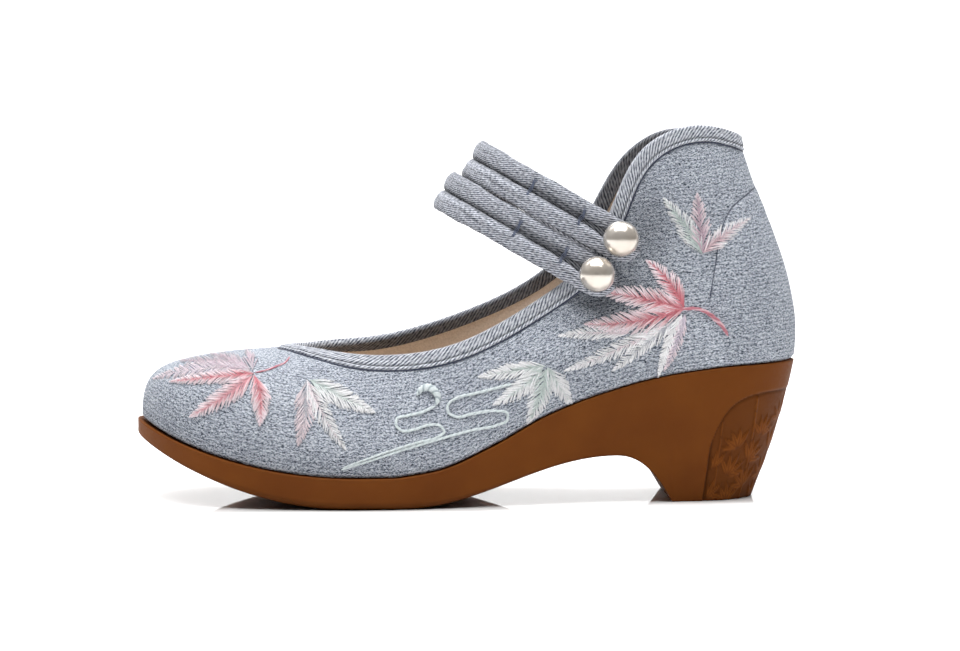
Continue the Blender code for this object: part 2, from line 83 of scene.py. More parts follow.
TUBE_HALF_THICKNESS = 1.4
LEG_SPACING = 3.65
LOOP_RADIUS = 4.6
LOOP_REACH = 6.2
LOOP_HALF_WIDTH = 2.6
LOOP_TAPER = 16.0
STRAP_LEAN = 0.14
STRAP_TAIL = 6.0
STRAP_MEDIAL_REACH = 21.3
PEARL_DIAMETER = 13.0
PEARL_CLEARANCE = 7.3
SHANK_RADIUS = 1.3
DENSE_LEVELS = 96
SIDE_SHIFT = 0.56
ORIGIN = np.array([-LENGTH / 2, SIDE_SHIFT, 0.0])
DENSE_TURNS = 4001

Feather = namedtuple("Feather", "lateral medial flare rise")
FEATHER = (
    Feather(6.0, 6.0, -1, 22.0),
    Feather(-12.5, 23.5, 0, 22.0),
    Feather(-31.0, 37.0, 2, 20.0),
    Feather(-43.0, 45.5, 4, 18.0),
    Feather(-49.0, 49.5, 6, 16.5),
    Feather(-50.5, 46.0, 8, 15.0),
    Feather(-44.0, 37.0, 8, 14.5),
    Feather(-37.5, 32.0, 6, 15.0),
    Feather(-34.0, 32.0, 5, 17.0),
    Feather(-33.5, 33.0, 6, 23.0),
    Feather(-28.0, 28.0, 8, 28.0),
    Feather(-15.5, 15.5, 9, 30.0),
    Feather(0.0, 0.0, 9, 30.0),
)

# The edge of the foot opening, up to about 2.5 mm off the part's source to follow the photo more closely
Topline = namedtuple(
    "Topline", "lateral_along lateral_out lateral_up medial_along medial_out medial_up lean reach"
)
TOPLINE = (
    Topline(23.9, 2.4, 40.7, 23.9, 2.4, 40.7, 85, 49.6),
    Topline(24.4, -4.2, 40.8, 24.4, 8.9, 40.7, 85, 47.4),
    Topline(25.9, -11.3, 40.8, 25.9, 16.1, 40.6, 81, 41.0),
    Topline(28.6, -19.6, 40.5, 28.6, 23.2, 41.0, 70, 32.0),
    Topline(33.0, -27.2, 39.9, 33.0, 29.6, 41.6, 48, 24.5),
    Topline(39.8, -31.9, 40.1, 39.6, 32.7, 43.4, 27, 18.0),
    Topline(49.6, -32.7, 44.2, 49.6, 33.3, 48.9, 18, 15.0),
    Topline(60.8, -32.1, 55.6, 60.0, 32.4, 57.9, 12, 15.0),
    Topline(68.3, -31.0, 68.6, 67.4, 31.2, 71.2, 8, 17.0),
    Topline(73.3, -29.5, 88.8, 72.8, 29.5, 88.5, 8, 22.0),
    Topline(79.4, -25.6, 98.6, 79.2, 25.6, 98.2, 10, 25.0),
    Topline(86.1, -16.7, 100.2, 85.7, 16.7, 99.2, 12, 26.0),
    Topline(90.9, 0.0, 97.7, 90.9, 0.0, 97.7, 12, 26.0),
)

Seat = namedtuple("Seat", "along rise")
SEAT = (
    Seat(95.0, 0.0),
    Seat(110.0, 6.0),
    Seat(130.0, 27.0),
    Seat(150.0, 54.0),
    Seat(170.0, 73.0),
    Seat(195.0, 89.5),
    Seat(220.0, 97.5),
    Seat(LENGTH, 100.0),
)

Underside = namedtuple("Underside", "along narrow edge")
UNDERSIDE = (
    Underside(0.0, 0.93, 1.6),
    Underside(40.0, 0.94, 2.8),
    Underside(85.0, 0.95, 3.0),
    Underside(120.0, 0.94, 2.0),
    Underside(155.0, 0.90, 1.2),
    Underside(185.0, 0.82, 0.8),
    Underside(205.0, 0.73, 0.6),
    Underside(LENGTH, 0.72, 0.6),
)

Counter = namedtuple("Counter", "along top")
COUNTER = (
    Counter(217.0, 0.28),
    Counter(219.5, 0.34),
    Counter(224.0, 0.44),
    Counter(229.0, 0.55),
    Counter(234.0, 0.63),
    Counter(240.0, 0.70),
    Counter(FEATHER_HEEL, 0.765),
)

# Each strap, with the runs from the pearl to the two tacks that hold its legs together
Strap = namedtuple("Strap", "node pearl along up rise tacks")
STRAPS = (
    Strap("strap_rear", "pearl_rear", 175.5, 96.0, 58.5, (11.8, 29.2)),
    Strap("strap_front", "pearl_front", 166.9, 83.4, 60.8, (9.9, 25.3)),
)

# The camera, in the photograph's frame of 960 by 651 pixels
FRAME_WIDTH = 960
FRAME_HEIGHT = 651
CAMERA_AZIMUTH = math.radians(2.5)
CAMERA_ELEVATION = math.radians(4.0)
CAMERA_DISTANCE = 1150.0
CAMERA_AIM = (4.378, SIDE_SHIFT, 63.366)
FOCAL_PIXELS = 3103.2
SENSOR = 36.0


# Curves and surfaces of the shoe


def hermite(low, high, slope_low, slope_high, share):
    """Cubic between two values with given slopes, for a share of the way between them."""
    s2, s3 = share**2, share**3
    return (
        low * (2 * s3 - 3 * s2 + 1)
        + slope_low * (s3 - 2 * s2 + share)
        + high * (3 * s2 - 2 * s3)
        + slope_high * (s3 - s2)
    )


def through(knots, values, place):
    """Smooth curve through a table's column that never overshoots its values."""
    knots, values = np.asarray(knots, float), np.asarray(values, float)
    step = np.diff(knots)
    grade = np.diff(values) / step
    slope = np.zeros(len(knots))
    rising = grade[:-1] * grade[1:] > 0
    mean = 2 * grade[:-1] * grade[1:] / np.where(rising, grade[:-1] + grade[1:], 1.0)
    slope[1:-1] = np.where(rising, mean, 0.0)
    slope[0], slope[-1] = grade[0], grade[-1]
    place = np.clip(place, knots[0], knots[-1])
    left = np.clip(np.searchsorted(knots, place, side="right") - 1, 0, len(step) - 1)
    width = step[left]
    share = (place - knots[left]) / width
    return hermite(values[left], values[left + 1], slope[left] * width, slope[left + 1] * width, share)


def by_length(table, name, along):
    """A table's column as a smooth curve over the distance from the toe tip."""
    return through([row.along for row in table], [getattr(row, name) for row in table], along)


def around(lateral, medial, turns):
    """Smooth closed curve round the shoe through the lateral and the medial column of a table."""
    ring = np.array(list(lateral) + list(medial)[-2:0:-1], float)
    count = len(ring)
    links = 4 * np.eye(count) + np.roll(np.eye(count), 1, 0) + np.roll(np.eye(count), -1, 0)
    slope = np.linalg.solve(links, 3 * (np.roll(ring, -1) - np.roll(ring, 1)))
    place = np.asarray(turns, float) / 360.0 * count
    left = np.floor(place).astype(int)
    share = place - left
    left = left % count
    right = (left + 1) % count
    return hermite(ring[left], ring[right], slope[left], slope[right], share)


def both_sides(table, name, turns):
    """A column that is the same on the lateral and the medial side."""
    column = [getattr(row, name) for row in table]
    return around(column, column, turns)


def feather_height(along):
    """Height of the sole's upper face: toe lift, level ball, then the ramp to the heel seat."""
    toe = TOE_LIFT * np.clip(1 - along / TOE_LIFT_END, 0, None) ** 2
    ramp = by_length(SEAT, "rise", along)
    return BALL_THICKNESS + toe + ramp / 100 * (HEEL_HEIGHT - BALL_THICKNESS)


def tread_height(along):
    """Height of the underside: toe spring, level tread, arch, curved breast and level heel."""
    toe = TOE_SPRING * np.clip(1 - along / TREAD_START, 0, None) ** TOE_SPRING_POWER
    up_arch = np.clip((along - TREAD_END) / (ARCH_TOP - TREAD_END), 0, 1)
    down_breast = np.clip((along - ARCH_TOP) / (BREAST - ARCH_TOP), 0, 1)
    return toe + ARCH_HEIGHT * (1 - np.cos(math.pi * up_arch)) / 2 * (1 - down_breast**BREAST_POWER)


def feather_along(turns):
    """Distance of the feather line from the toe tip."""
    return FEATHER_TOE + (FEATHER_HEEL - FEATHER_TOE) * (1 - np.cos(np.radians(turns))) / 2


def turn_at(along):
    """The lateral turn whose feather line lies this far from the toe tip."""
    share = (along - FEATHER_TOE) / (FEATHER_HEEL - FEATHER_TOE)
    return np.degrees(np.arccos(1 - 2 * share))


def feather_line(turns):
    """Plan points of the feather line, as distance from the toe tip and sideways."""
    out = around([row.lateral for row in FEATHER], [row.medial for row in FEATHER], turns)
    return np.stack([feather_along(turns), out / 100 * BALL_WIDTH], -1)


def topline(turns):
    """Points of the edge of the foot opening."""
    columns = []
    for part, size in (("along", LENGTH), ("out", BALL_WIDTH), ("up", BACK_HEIGHT)):
        lateral = [getattr(row, "lateral_" + part) for row in TOPLINE]
        medial = [getattr(row, "medial_" + part) for row in TOPLINE]
        columns.append(around(lateral, medial, turns) / 100 * size)
    return np.stack(columns, -1)


def unit(vectors):
    return vectors / np.linalg.norm(vectors, axis=-1, keepdims=True)


def lifted(plan, heights):
    """Plan points with their heights."""
    return np.concatenate([plan, heights[..., None]], -1)


def plan_frame(curve, turns):
    """Unit tangent and inward normal, in plan, of a curve round the shoe."""
    nudge = 0.05
    tangent = unit((curve(turns + nudge) - curve(turns - nudge))[..., :2])
    return tangent, np.stack([-tangent[..., 1], tangent[..., 0]], -1)


def meridians(turns):
    """Dense points of the upper's outer face: one meridian a row, from feather line to topline."""
    turns = np.asarray(turns, float)
    plan = feather_line(turns)
    start = lifted(plan, feather_height(plan[:, 0]) + GAP)
    end = topline(turns)
    low_tangent, low_inward = plan_frame(feather_line, turns)
    top_tangent, top_inward = plan_frame(topline, turns)
    chord = (end - start)[:, :2]
    rise = both_sides(FEATHER, "rise", turns)
    flare = np.tan(np.radians(both_sides(FEATHER, "flare", turns)))
    reach = both_sides(TOPLINE, "reach", turns)
    lean = np.radians(both_sides(TOPLINE, "lean", turns))
    low_slide = low_tangent * (chord * low_tangent).sum(-1, keepdims=True) / 3
    top_slide = top_tangent * (chord * top_tangent).sum(-1, keepdims=True) / 3
    low_plan = start[:, :2] + low_slide - low_inward * (rise * flare)[:, None]
    top_plan = end[:, :2] - top_slide - top_inward * (reach * np.sin(lean))[:, None]
    low = lifted(low_plan, start[:, 2] + rise)
    top = lifted(top_plan, end[:, 2] - reach * np.cos(lean))
    s = np.linspace(0, 1, DENSE_LEVELS + 1)[None, :, None]
    corners = [point[:, None, :] for point in (start, low, top, end)]
    return (
        corners[0] * (1 - s) ** 3
        + 3 * corners[1] * s * (1 - s) ** 2
        + 3 * corners[2] * s**2 * (1 - s)
        + corners[3] * s**3
    )


def along_meridians(turns, distances):
    """Points and outward normals at given distances up each meridian, a row of distances for each."""
    nudge = 0.2
    dense = meridians(turns)
    across = meridians(np.asarray(turns) + nudge) - meridians(np.asarray(turns) - nudge)
    normal = unit(np.cross(across, np.gradient(dense, axis=1)))
    steps = np.linalg.norm(np.diff(dense, axis=1), axis=-1)
    length = np.concatenate([np.zeros((len(dense), 1)), np.cumsum(steps, 1)], 1)
    points, normals = np.empty(distances.shape + (3,)), np.empty(distances.shape + (3,))
    for row in range(len(dense)):
        for k in range(3):
            points[row, :, k] = np.interp(distances[row], length[row], dense[row, :, k])
            normals[row, :, k] = np.interp(distances[row], length[row], normal[row, :, k])
    return points, unit(normals)


def meridian_lengths(turns):
    return np.linalg.norm(np.diff(meridians(turns), axis=1), axis=-1).sum(1)


def even_turns(count):
    return np.arange(count) * 360.0 / count


def sole_edges(turns):
    """The sole's upper and lower edge, the lower one's round, the outward normal and how far back it is."""
    plan = feather_line(turns)
    inward = plan_frame(feather_line, turns)[1]
    heelward = np.clip((plan[:, 0] - BREAST) / (FEATHER_HEEL - BREAST), 0, 1)
    ledge = LEDGE_FRONT + (LEDGE_HEEL - LEDGE_FRONT) * np.clip(plan[:, 0] / BREAST, 0, 1) ** 3
    rim = plan - inward * ledge[:, None]
    upper_edge = lifted(rim, feather_height(plan[:, 0]))
    narrow = by_length(UNDERSIDE, "narrow", rim[:, 0])
    round_edge = by_length(UNDERSIDE, "edge", rim[:, 0])
    middle = (rim[:, 1] + feather_line(360 - turns)[:, 1]) / 2
    heel_squeeze = (HEEL_FOOT_END - BREAST) / (FEATHER_HEEL + LEDGE_HEEL - BREAST)
    along = np.where(rim[:, 0] > BREAST, BREAST + (rim[:, 0] - BREAST) * heel_squeeze, rim[:, 0])
    lower_edge = np.stack([along, middle + (rim[:, 1] - middle) * narrow, tread_height(plan[:, 0])], -1)
    return upper_edge, lower_edge, round_edge, -inward, heelward


def panel_top(turns):
    """Share of the sole's depth at which the heel panel starts."""
    return PANEL_TOP + PANEL_FALL * np.exp(-(feather_along(turns) - PANEL_START) / PANEL_CURVE)


def strap_frame(spot, standoff, rise, run):
    """Centres, normals and width directions of a strap at runs along it, 0 at the pearl."""
    slope = np.array([-math.cos(STRAP_ANGLE), 0.0, math.sin(STRAP_ANGLE)])
    across = np.array([math.sin(STRAP_ANGLE), 0.0, math.cos(STRAP_ANGLE)])
    sideways = np.array([0.0, 1.0, 0.0])
    run = np.asarray(run, float)[..., None]
    lateral_reach = standoff - spot[1]
    quarter = strap_quarter(spot, standoff, rise)
    angle = np.clip(run / quarter, 0, 2) * math.pi / 2
    tail = np.minimum(run, 0.0) - np.maximum(run - 2 * quarter, 0.0)
    reach = np.where(angle <= math.pi / 2, lateral_reach, STRAP_MEDIAL_REACH)
    centre = spot * [1, 0, 1] + slope * (rise * np.sin(angle) + tail) - sideways * reach * np.cos(angle)
    flat = slope * np.sin(angle) / rise - sideways * np.cos(angle) / reach
    normal = unit(unit(flat) + across * STRAP_LEAN * np.cos(angle) ** 2)
    heading = unit(slope * rise * np.cos(angle) + sideways * reach * np.sin(angle))
    return centre, normal, unit(np.cross(normal, heading))


def strap_quarter(spot, standoff, rise):
    """Length of a strap from its pearl to the top of the instep."""
    return math.pi / 2 * (rise + standoff - spot[1]) / 2


def place(points):
    """Shoe points, in millimetres from the toe tip, as metres from the origin."""
    return (np.asarray(points, float) + ORIGIN) * MM


def unplace(point):
    """A point in metres from the origin as a shoe point."""
    return np.array(point) / MM - ORIGIN


def smooth(low, high, value):
    """Soft step from 0 at low to 1 at high."""
    share = np.clip((value - low) / (high - low), 0, 1)
    return share * share * (3 - 2 * share)


def bell(offset, width):
    """Soft bump: 1 where there is no offset, falling away over a width."""
    return np.exp(-((offset / width) ** 2))


def distances_along(points):
    """Distance along a path to each of its points."""
    return np.concatenate([[0], np.cumsum(np.linalg.norm(np.diff(points, axis=0), axis=-1))])


# Meshes


def grid_faces(rows, columns, wrap_rows=False, wrap_columns=False):
    """Quads of a grid of points; a wrapped direction closes on itself."""
    row, column = np.meshgrid(
        np.arange(rows if wrap_rows else rows - 1),
        np.arange(columns if wrap_columns else columns - 1),
        indexing="ij",
    )
    next_row, next_column = (row + 1) % rows, (column + 1) % columns
    corners = [
        row * columns + column,
        next_row * columns + column,
        next_row * columns + next_column,
        row * columns + next_column,
    ]
    return np.stack(corners, -1).reshape(-1, 4)


def add_piece(name, points, faces, material, stands_for=(), colours=None):
    """A smooth piece riding the shoe's one body, from points in shoe millimetres."""
    mesh = bpy.data.meshes.new(name)
    mesh.from_pydata(place(points).reshape(-1, 3).tolist(), [], [list(face) for face in faces])
    if colours is not None:
        flat = np.concatenate([colours, np.ones(colours.shape[:-1] + (1,))], -1)
        layer = mesh.attributes.new("thread_colour", "FLOAT_COLOR", "POINT")
        layer.data.foreach_set("color", flat.astype(np.float32).ravel())
    mesh.materials.append(material)
    mesh.shade_smooth()
    mesh.update()
    piece = bpy.data.objects.new(name, mesh)
    bpy.context.scene.collection.objects.link(piece)
    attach(piece, "root")
    if stands_for:
        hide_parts(*stands_for)
    return piece


def set_values(piece, label, values, period=None):
    """A number at each point of a piece, for its material; it may start again where a ring closes."""
    mesh = piece.data
    spots = np.empty(len(mesh.loops), np.int32)
    mesh.loops.foreach_get("vertex_index", spots)
    corners = np.ravel(values)[spots]
    if period:
        quads = corners.reshape(-1, 4)
        corners = quads + period * (quads.max(1, keepdims=True) - quads > period / 2)
    layer = mesh.attributes.new(label, "FLOAT", "CORNER")
    layer.data.foreach_set("value", corners.astype(np.float32).ravel())


def surface_tree(piece):
    mesh = piece.data
    return BVHTree.FromPolygons([v.co for v in mesh.vertices], [p.vertices for p in mesh.polygons])


def sweep(paths, normals, radii, sides=6, flatten=1.0):
    """Round threads along paths: points of shape (threads, steps, sides, 3)."""
    tangent = unit(np.gradient(paths, axis=1))
    across = unit(np.cross(tangent, normals))
    over = np.cross(across, tangent)
    a = np.linspace(0, 2 * math.pi, sides, endpoint=False)
    ring = across[:, :, None] * np.cos(a)[:, None] + over[:, :, None] * (flatten * np.sin(a))[:, None]
    return paths[:, :, None] + ring * radii[..., None, None]


def thread_faces(threads, steps, sides):
    one = grid_faces(steps, sides, wrap_columns=True)
    return (one[None] + (np.arange(threads) * steps * sides)[:, None, None]).reshape(-1, 4)


def add_threads(name, tube, look, colours):
    """Swept threads as one piece, in one colour or in a colour for each point."""
    faces = thread_faces(*tube.shape[:3])
    return add_piece(name, tube, faces, look, colours=np.broadcast_to(colours, tube.shape))


# Materials


def linear(red, green, blue):
    """A colour given in screen values from 0 to 255, as linear light."""
    value = np.array([red, green, blue]) / 255.0
    return np.where(value <= 0.04045, value / 12.92, ((value + 0.055) / 1.055) ** 2.4)


class Look:
    """A procedural material in the making."""

    def __init__(self, name, colour, roughness, specular=0.5):
        self.material = bpy.data.materials.new(name)
        self.material.use_nodes = True
        self.nodes = self.material.node_tree.nodes
        self.links = self.material.node_tree.links
        self.shader = self.nodes["Principled BSDF"]
        self.set("Base Color", (*colour, 1.0))
        self.set("Roughness", roughness)
        self.set("Specular IOR Level", specular)

    def set(self, socket, value):
        self.shader.inputs[socket].default_value = value

    def join(self, source, socket):
        self.links.new(source, self.shader.inputs[socket])

    def node(self, kind, **settings):
        made = self.nodes.new("ShaderNode" + kind)
        for name, value in settings.items():
            setattr(made, name, value)
        return made

    def noise(self, scale, detail=2.0, stretch=(1, 1, 1), roughness=0.5, distortion=0.0, spot=None):
        """Noise in the object's own metres, or at a given place."""
        spot = spot or self.node("TexCoord").outputs["Object"]
        mapping = self.node("Mapping")
        mapping.inputs["Scale"].default_value = stretch
        made = self.node("TexNoise")
        made.inputs["Scale"].default_value = scale
        made.inputs["Detail"].default_value = detail
        made.inputs["Roughness"].default_value = roughness
        made.inputs["Distortion"].default_value = distortion
        self.links.new(spot, mapping.inputs["Vector"])
        self.links.new(mapping.outputs["Vector"], made.inputs["Vector"])
        return made.outputs["Fac"]

    def attribute(self, name, output="Fac"):
        return self.node("Attribute", attribute_name=name).outputs[output]

    def ramp(self, value, stops):
        """Colours by value; stops are (place, colour) pairs."""
        made = self.node("ValToRGB")
        elements = made.color_ramp.elements
        while len(elements) < len(stops):
            elements.new(0.5)
        for element, (spot, colour) in zip(elements, stops):
            element.position = spot
            element.color = (*colour, 1.0)
        self.links.new(value, made.inputs["Fac"])
        return made.outputs["Color"]

    def product(self, first, second):
        """Product of two colours or sockets."""
        made = self.node("Mix", data_type="RGBA", blend_type="MULTIPLY")
        made.inputs[0].default_value = 1.0
        for socket, value in ((made.inputs[6], first), (made.inputs[7], second)):
            if isinstance(value, bpy.types.NodeSocket):
                self.links.new(value, socket)
            else:
                socket.default_value = (*value, 1.0)
        return made.outputs[2]

    def shade(self, colour, shares):
        """The base colour, of which each place keeps its share."""
        self.join(self.product(colour, shares), "Base Color")

    def math(self, operation, first, second):
        made = self.node("Math", operation=operation)
        for socket, value in zip(made.inputs, (first, second)):
            if isinstance(value, bpy.types.NodeSocket):
                self.links.new(value, socket)
            else:
                socket.default_value = value
        return made.outputs["Value"]

    def bump(self, height, strength, distance):
        made = self.node("Bump")
        made.inputs["Strength"].default_value = strength
        made.inputs["Distance"].default_value = distance
        self.links.new(height, made.inputs["Height"])
        self.join(made.outputs["Normal"], "Normal")


def crepe_look():
    """Blue-grey crepe: fine wavering dashes, dark and pale, in the uneven rows of a pebbled weave."""
    rows_per_mm, waver, waver_fineness, row_depth = 0.68, 1.5, 480.0, 0.2
    fineness, stretch, distortion = 2500.0, (0.64, 0.64, 1.9), 0.7
    look = Look("crepe_cloth_look", linear(150, 157, 168), 0.9, 0.15)
    wander = look.math("MULTIPLY", look.noise(waver_fineness, 1.0), waver)
    row = look.math("ADD", look.math("MULTIPLY", look.attribute("weft"), rows_per_mm), wander)
    rows = look.math("SUBTRACT", look.math("PINGPONG", row, 0.5), 0.25)
    spot, on_cloth = look.node("SeparateXYZ"), look.node("CombineXYZ")
    look.links.new(look.node("TexCoord").outputs["Object"], spot.inputs["Vector"])
    for axis in "XY":
        look.links.new(spot.outputs[axis], on_cloth.inputs[axis])
    look.links.new(look.math("MULTIPLY", look.attribute("weft"), MM), on_cloth.inputs["Z"])
    dashes = look.noise(fineness, 1.0, stretch, 0.5, distortion, on_cloth.outputs["Vector"])
    flecks = look.math("ADD", dashes, look.math("MULTIPLY", rows, row_depth))
    weave = look.ramp(
        flecks,
        [
            (0.33, linear(8, 14, 26)),
            (0.43, linear(92, 100, 113)),
            (0.49, linear(147, 154, 164)),
            (0.57, linear(178, 183, 192)),
            (0.72, linear(214, 218, 224)),
        ],
    )
    patches = look.ramp(look.noise(60.0, 3.0), [(0.35, (0.93, 0.93, 0.94)), (0.65, (1.0, 1.0, 1.0))])
    cloth = look.product(weave, patches)
    # The upper's shade numbers darken and lighten the cloth: they are painted shade and painted light.
    look.shade(cloth, look.attribute("shade"))
    look.set("Sheen Weight", 0.06)
    look.set("Sheen Roughness", 0.5)
    look.bump(flecks, 0.5, 0.0004)
    return look.material


def twill_look(name, groove, ridge):
    """Twill tape: slanting ribs broken into uneven dashes, by the numbers that its piece carries."""
    look = Look(name, ridge, 0.88, 0.2)
    spot = look.node("CombineXYZ")
    for label, socket in (("rib", "X"), ("dash", "Y")):
        look.links.new(look.attribute(label), spot.inputs[socket])
    rib = look.math("PINGPONG", look.attribute("rib"), 0.5)
    yarn = look.noise(1.5, 2.0, (1.0, 0.5, 1.0), spot=spot.outputs["Vector"])
    weave = look.math("ADD", look.math("MULTIPLY", rib, 0.8), yarn)
    colour = look.ramp(weave, [(0.46, groove), (0.70, (groove + ridge) / 2), (0.92, ridge)])
    # The piece's shade numbers are painted shade and painted highlight on the tape.
    look.shade(colour, look.attribute("shade"))
    look.set("Sheen Weight", 0.12)
    look.bump(weave, 0.6, 0.0005)
    return look.material


def lining_look(name, colour):
    """Woven cotton lining."""
    look = Look(name, linear(*colour), 0.9, 0.2)
    weave = look.noise(1500.0, 2.0)
    tint = look.ramp(weave, [(0.3, (0.80, 0.79, 0.78)), (0.7, (1.0, 1.0, 1.0))])
    look.shade(linear(*colour), tint)
    look.bump(weave, 0.4, 0.0003)
    return look.material


def rubber_look():
    """Moulded rubber with a satin skin; its colour carries the sole's painted shade, darker in the ground
    of the heel's relief.
    """
    look = Look("moulded_rubber_look", linear(100, 53, 13), 0.6, 0.07)
    cloud = look.noise(45.0, 3.0)
    tint = look.ramp(cloud, [(0.3, linear(96, 50, 12)), (0.7, linear(105, 57, 15))])
    look.shade(tint, look.attribute("shade"))
    grain = look.noise(900.0, 3.0)
    gloss = look.ramp(grain, [(0.3, (0.50, 0.50, 0.50)), (0.7, (0.64, 0.64, 0.64))])
    look.join(gloss, "Roughness")
    look.bump(grain, 0.12, 0.0002)
    return look.material


def thread_look():
    """Silk thread in its own colours."""
    look = Look("embroidery_thread_look", linear(226, 220, 220), 0.5, 0.35)
    strand = look.noise(2400.0, 1.0)
    fibre = look.ramp(strand, [(0.3, (0.86, 0.86, 0.86)), (0.7, (1.0, 1.0, 1.0))])
    look.shade(look.attribute("thread_colour", "Color"), fibre)
    look.set("Sheen Weight", 0.1)
    look.bump(strand, 0.3, 0.0002)
    return look.material


def pearl_look():
    """Nacre coat over a cream bead: a part of it mirrors like metal."""
    look = Look("pearl_coat_look", linear(208, 199, 188), 0.2, 0.6)
    tint = look.ramp(look.noise(90.0, 2.0), [(0.35, linear(204, 194, 182)), (0.65, linear(212, 205, 196))])
    look.join(tint, "Base Color")
    look.set("Metallic", 0.6)
    look.set("Coat Weight", 1.0)
    look.set("Coat Roughness", 0.1)
    look.bump(look.noise(400.0, 2.0), 0.02, 0.0002)
    return look.material


def floor_look():
    """White acrylic: a mirror at this low angle beside and under the shoe, fading out in front of it."""
    ball_front, heel_front, fade_length, per_metre = -0.043, -0.021, 0.107, 3.0
    heel_blend, toe_end, ends_per_metre, gloss, index = 14.0, 0.2, 2.5, 0.03, 1.8
    gone, faint, full = (0, 0, 0), (0.35, 0.35, 0.35), (1, 1, 1)
    look = Look("studio_floor_look", (0.93, 0.93, 0.93), 1.0, 0.0)
    grain = look.ramp(look.noise(40.0, 2.0), [(0.3, (0.92, 0.92, 0.92)), (0.7, (0.94, 0.94, 0.94))])
    look.join(grain, "Base Color")
    mirror = look.node("BsdfGlossy")
    mirror.inputs["Roughness"].default_value = gloss
    both = look.node("MixShader")
    spot = look.node("SeparateXYZ")
    look.links.new(look.node("TexCoord").outputs["Object"], spot.inputs["Vector"])
    to_heel = look.math("MULTIPLY", spot.outputs["X"], heel_blend)
    heelward = look.ramp(to_heel, [(0.0, gone), (1.0, full)])
    step_back = look.math("MULTIPLY", heelward, ball_front - heel_front)
    depth = look.math("ADD", look.math("ADD", spot.outputs["Y"], step_back), fade_length - ball_front)
    stops = [(0.0, gone), (0.30, faint), (0.325, full), (0.55, full), (0.8, gone)]
    strip = look.ramp(look.math("MULTIPLY", depth, per_metre), stops)
    length = look.math("MULTIPLY", look.math("ADD", spot.outputs["X"], toe_end), ends_per_metre)
    ends = look.ramp(length, [(0.0, gone), (0.15, full), (0.85, full), (1.0, gone)])
    grazing = look.node("Fresnel")
    grazing.inputs["IOR"].default_value = index
    share = look.math("MULTIPLY", look.math("MULTIPLY", strip, ends), grazing.outputs["Fac"])
    look.links.new(share, both.inputs["Fac"])
    look.links.new(look.shader.outputs["BSDF"], both.inputs[1])
    look.links.new(mirror.outputs["BSDF"], both.inputs[2])
    look.links.new(both.outputs["Shader"], look.nodes["Material Output"].inputs["Surface"])
    return look.material


# The upper and its lining

# Dark thread colour: the counter's own seam, and the painted shadow line under the topline tape.
SEAM_AND_SHADOW_LINE = linear(58, 64, 82)
TACK = linear(84, 92, 112)

# Soft creases: centre along and up, half length, half width, depth and slope in degrees
Crease = namedtuple("Crease", "along up long wide depth slope")
CREASES = (
    Crease(168.0, 75.5, 10.0, 6.0, 1.9, -15),
    Crease(226.0, 104.0, 7.0, 2.2, 0.35, 60),
    Crease(231.0, 99.0, 6.0, 2.0, 0.3, 70),
    Crease(120.0, 38.0, 16.0, 5.0, 0.35, 35),
    Crease(96.0, 34.0, 14.0, 5.0, 0.3, 60),
)

# Painted shade and painted light on the lateral side: soft patches of painted shadow under the pearls and
# straps and towards the collar, and paler painted light where more light falls; centre along and up, half
# length, half height and share, which is below 0 where the cloth is painted paler
Tone = namedtuple("Tone", "along up long wide share")
PAINTED_SHADE_PATCHES = (
    Tone(170.0, 76.5, 13.0, 7.5, 0.57),
    Tone(187.0, 99.0, 8.0, 14.0, 0.4),
    Tone(178.0, 77.0, 12.0, 7.0, 0.22),
    Tone(210.0, 104.0, 24.0, 18.0, 0.08),
    Tone(153.0, 59.0, 22.0, 7.0, -0.14),
    Tone(213.0, 63.0, 18.0, 9.0, -0.14),
)

CLOTH_TURNS = 560
CLOTH_LEVELS = 60
CLOTH_THICKNESS = 0.9
EDGE_DROP = GAP + TAPE
HEM_RADIUS = 1.5


def crease_depth(points):
    """How far the creases press the cloth in, at points of the upper."""
    depth = np.zeros(points.shape[:-1])
    for crease in CREASES:
        slope = math.radians(crease.slope)
        x = points[..., 0] - crease.along
        z = points[..., 2] - crease.up
        run = (x * math.cos(slope) + z * math.sin(slope)) / crease.long
        off = (z * math.cos(slope) - x * math.sin(slope)) / crease.wide
        depth += crease.depth * (1 - off**2) * np.exp(-(off**2) - run**2)
    return depth


def cloth_shade(points, distances):
    """Share of its colour that the cloth keeps: painted shade in a band above the sole, darker towards the
    bottom, and the painted shade and painted light patches.
    """
    painted_low_shade, painted_low_height, painted_low_from, painted_low_to = 0.22, 9.0, 130.0, 70.0
    shade = 1 - painted_low_shade * bell(distances, painted_low_height) * smooth(painted_low_from, painted_low_to, points[..., 0])
    for tone in PAINTED_SHADE_PATCHES:
        run = (points[..., 0] - tone.along) / tone.long
        off = (points[..., 2] - tone.up) / tone.wide
        shade = shade * (1 - tone.share * np.exp(-(run**2) - off**2) * (points[..., 1] < 0))
    return shade


def tape_stretch(turns):
    """Run up the meridian for each millimetre across the tape, and how far the tape runs on meanwhile."""
    nudge, least, climb_steps = 0.05, 0.5, 8
    tangent = unit(topline(turns + nudge) - topline(turns - nudge))
    top = meridians(turns)
    climb = unit(top[:, -1] - top[:, -climb_steps])
    sine = np.linalg.norm(np.cross(tangent, climb), axis=-1)
    return 1 / np.maximum(sine, least), (tangent * climb).sum(-1)


def cloth_distances(turns, levels, top_band, top_levels):
    """Distances up the meridians, closer together at the feather line and in a band along the topline."""
    crowding = 1.15
    length = meridian_lengths(turns) - EDGE_DROP
    low = (length - top_band)[:, None] * np.linspace(0, 1, levels, endpoint=False) ** crowding
    high = (length - top_band)[:, None] + top_band * np.linspace(0, 1, top_levels)
    return np.concatenate([low, high], 1), length


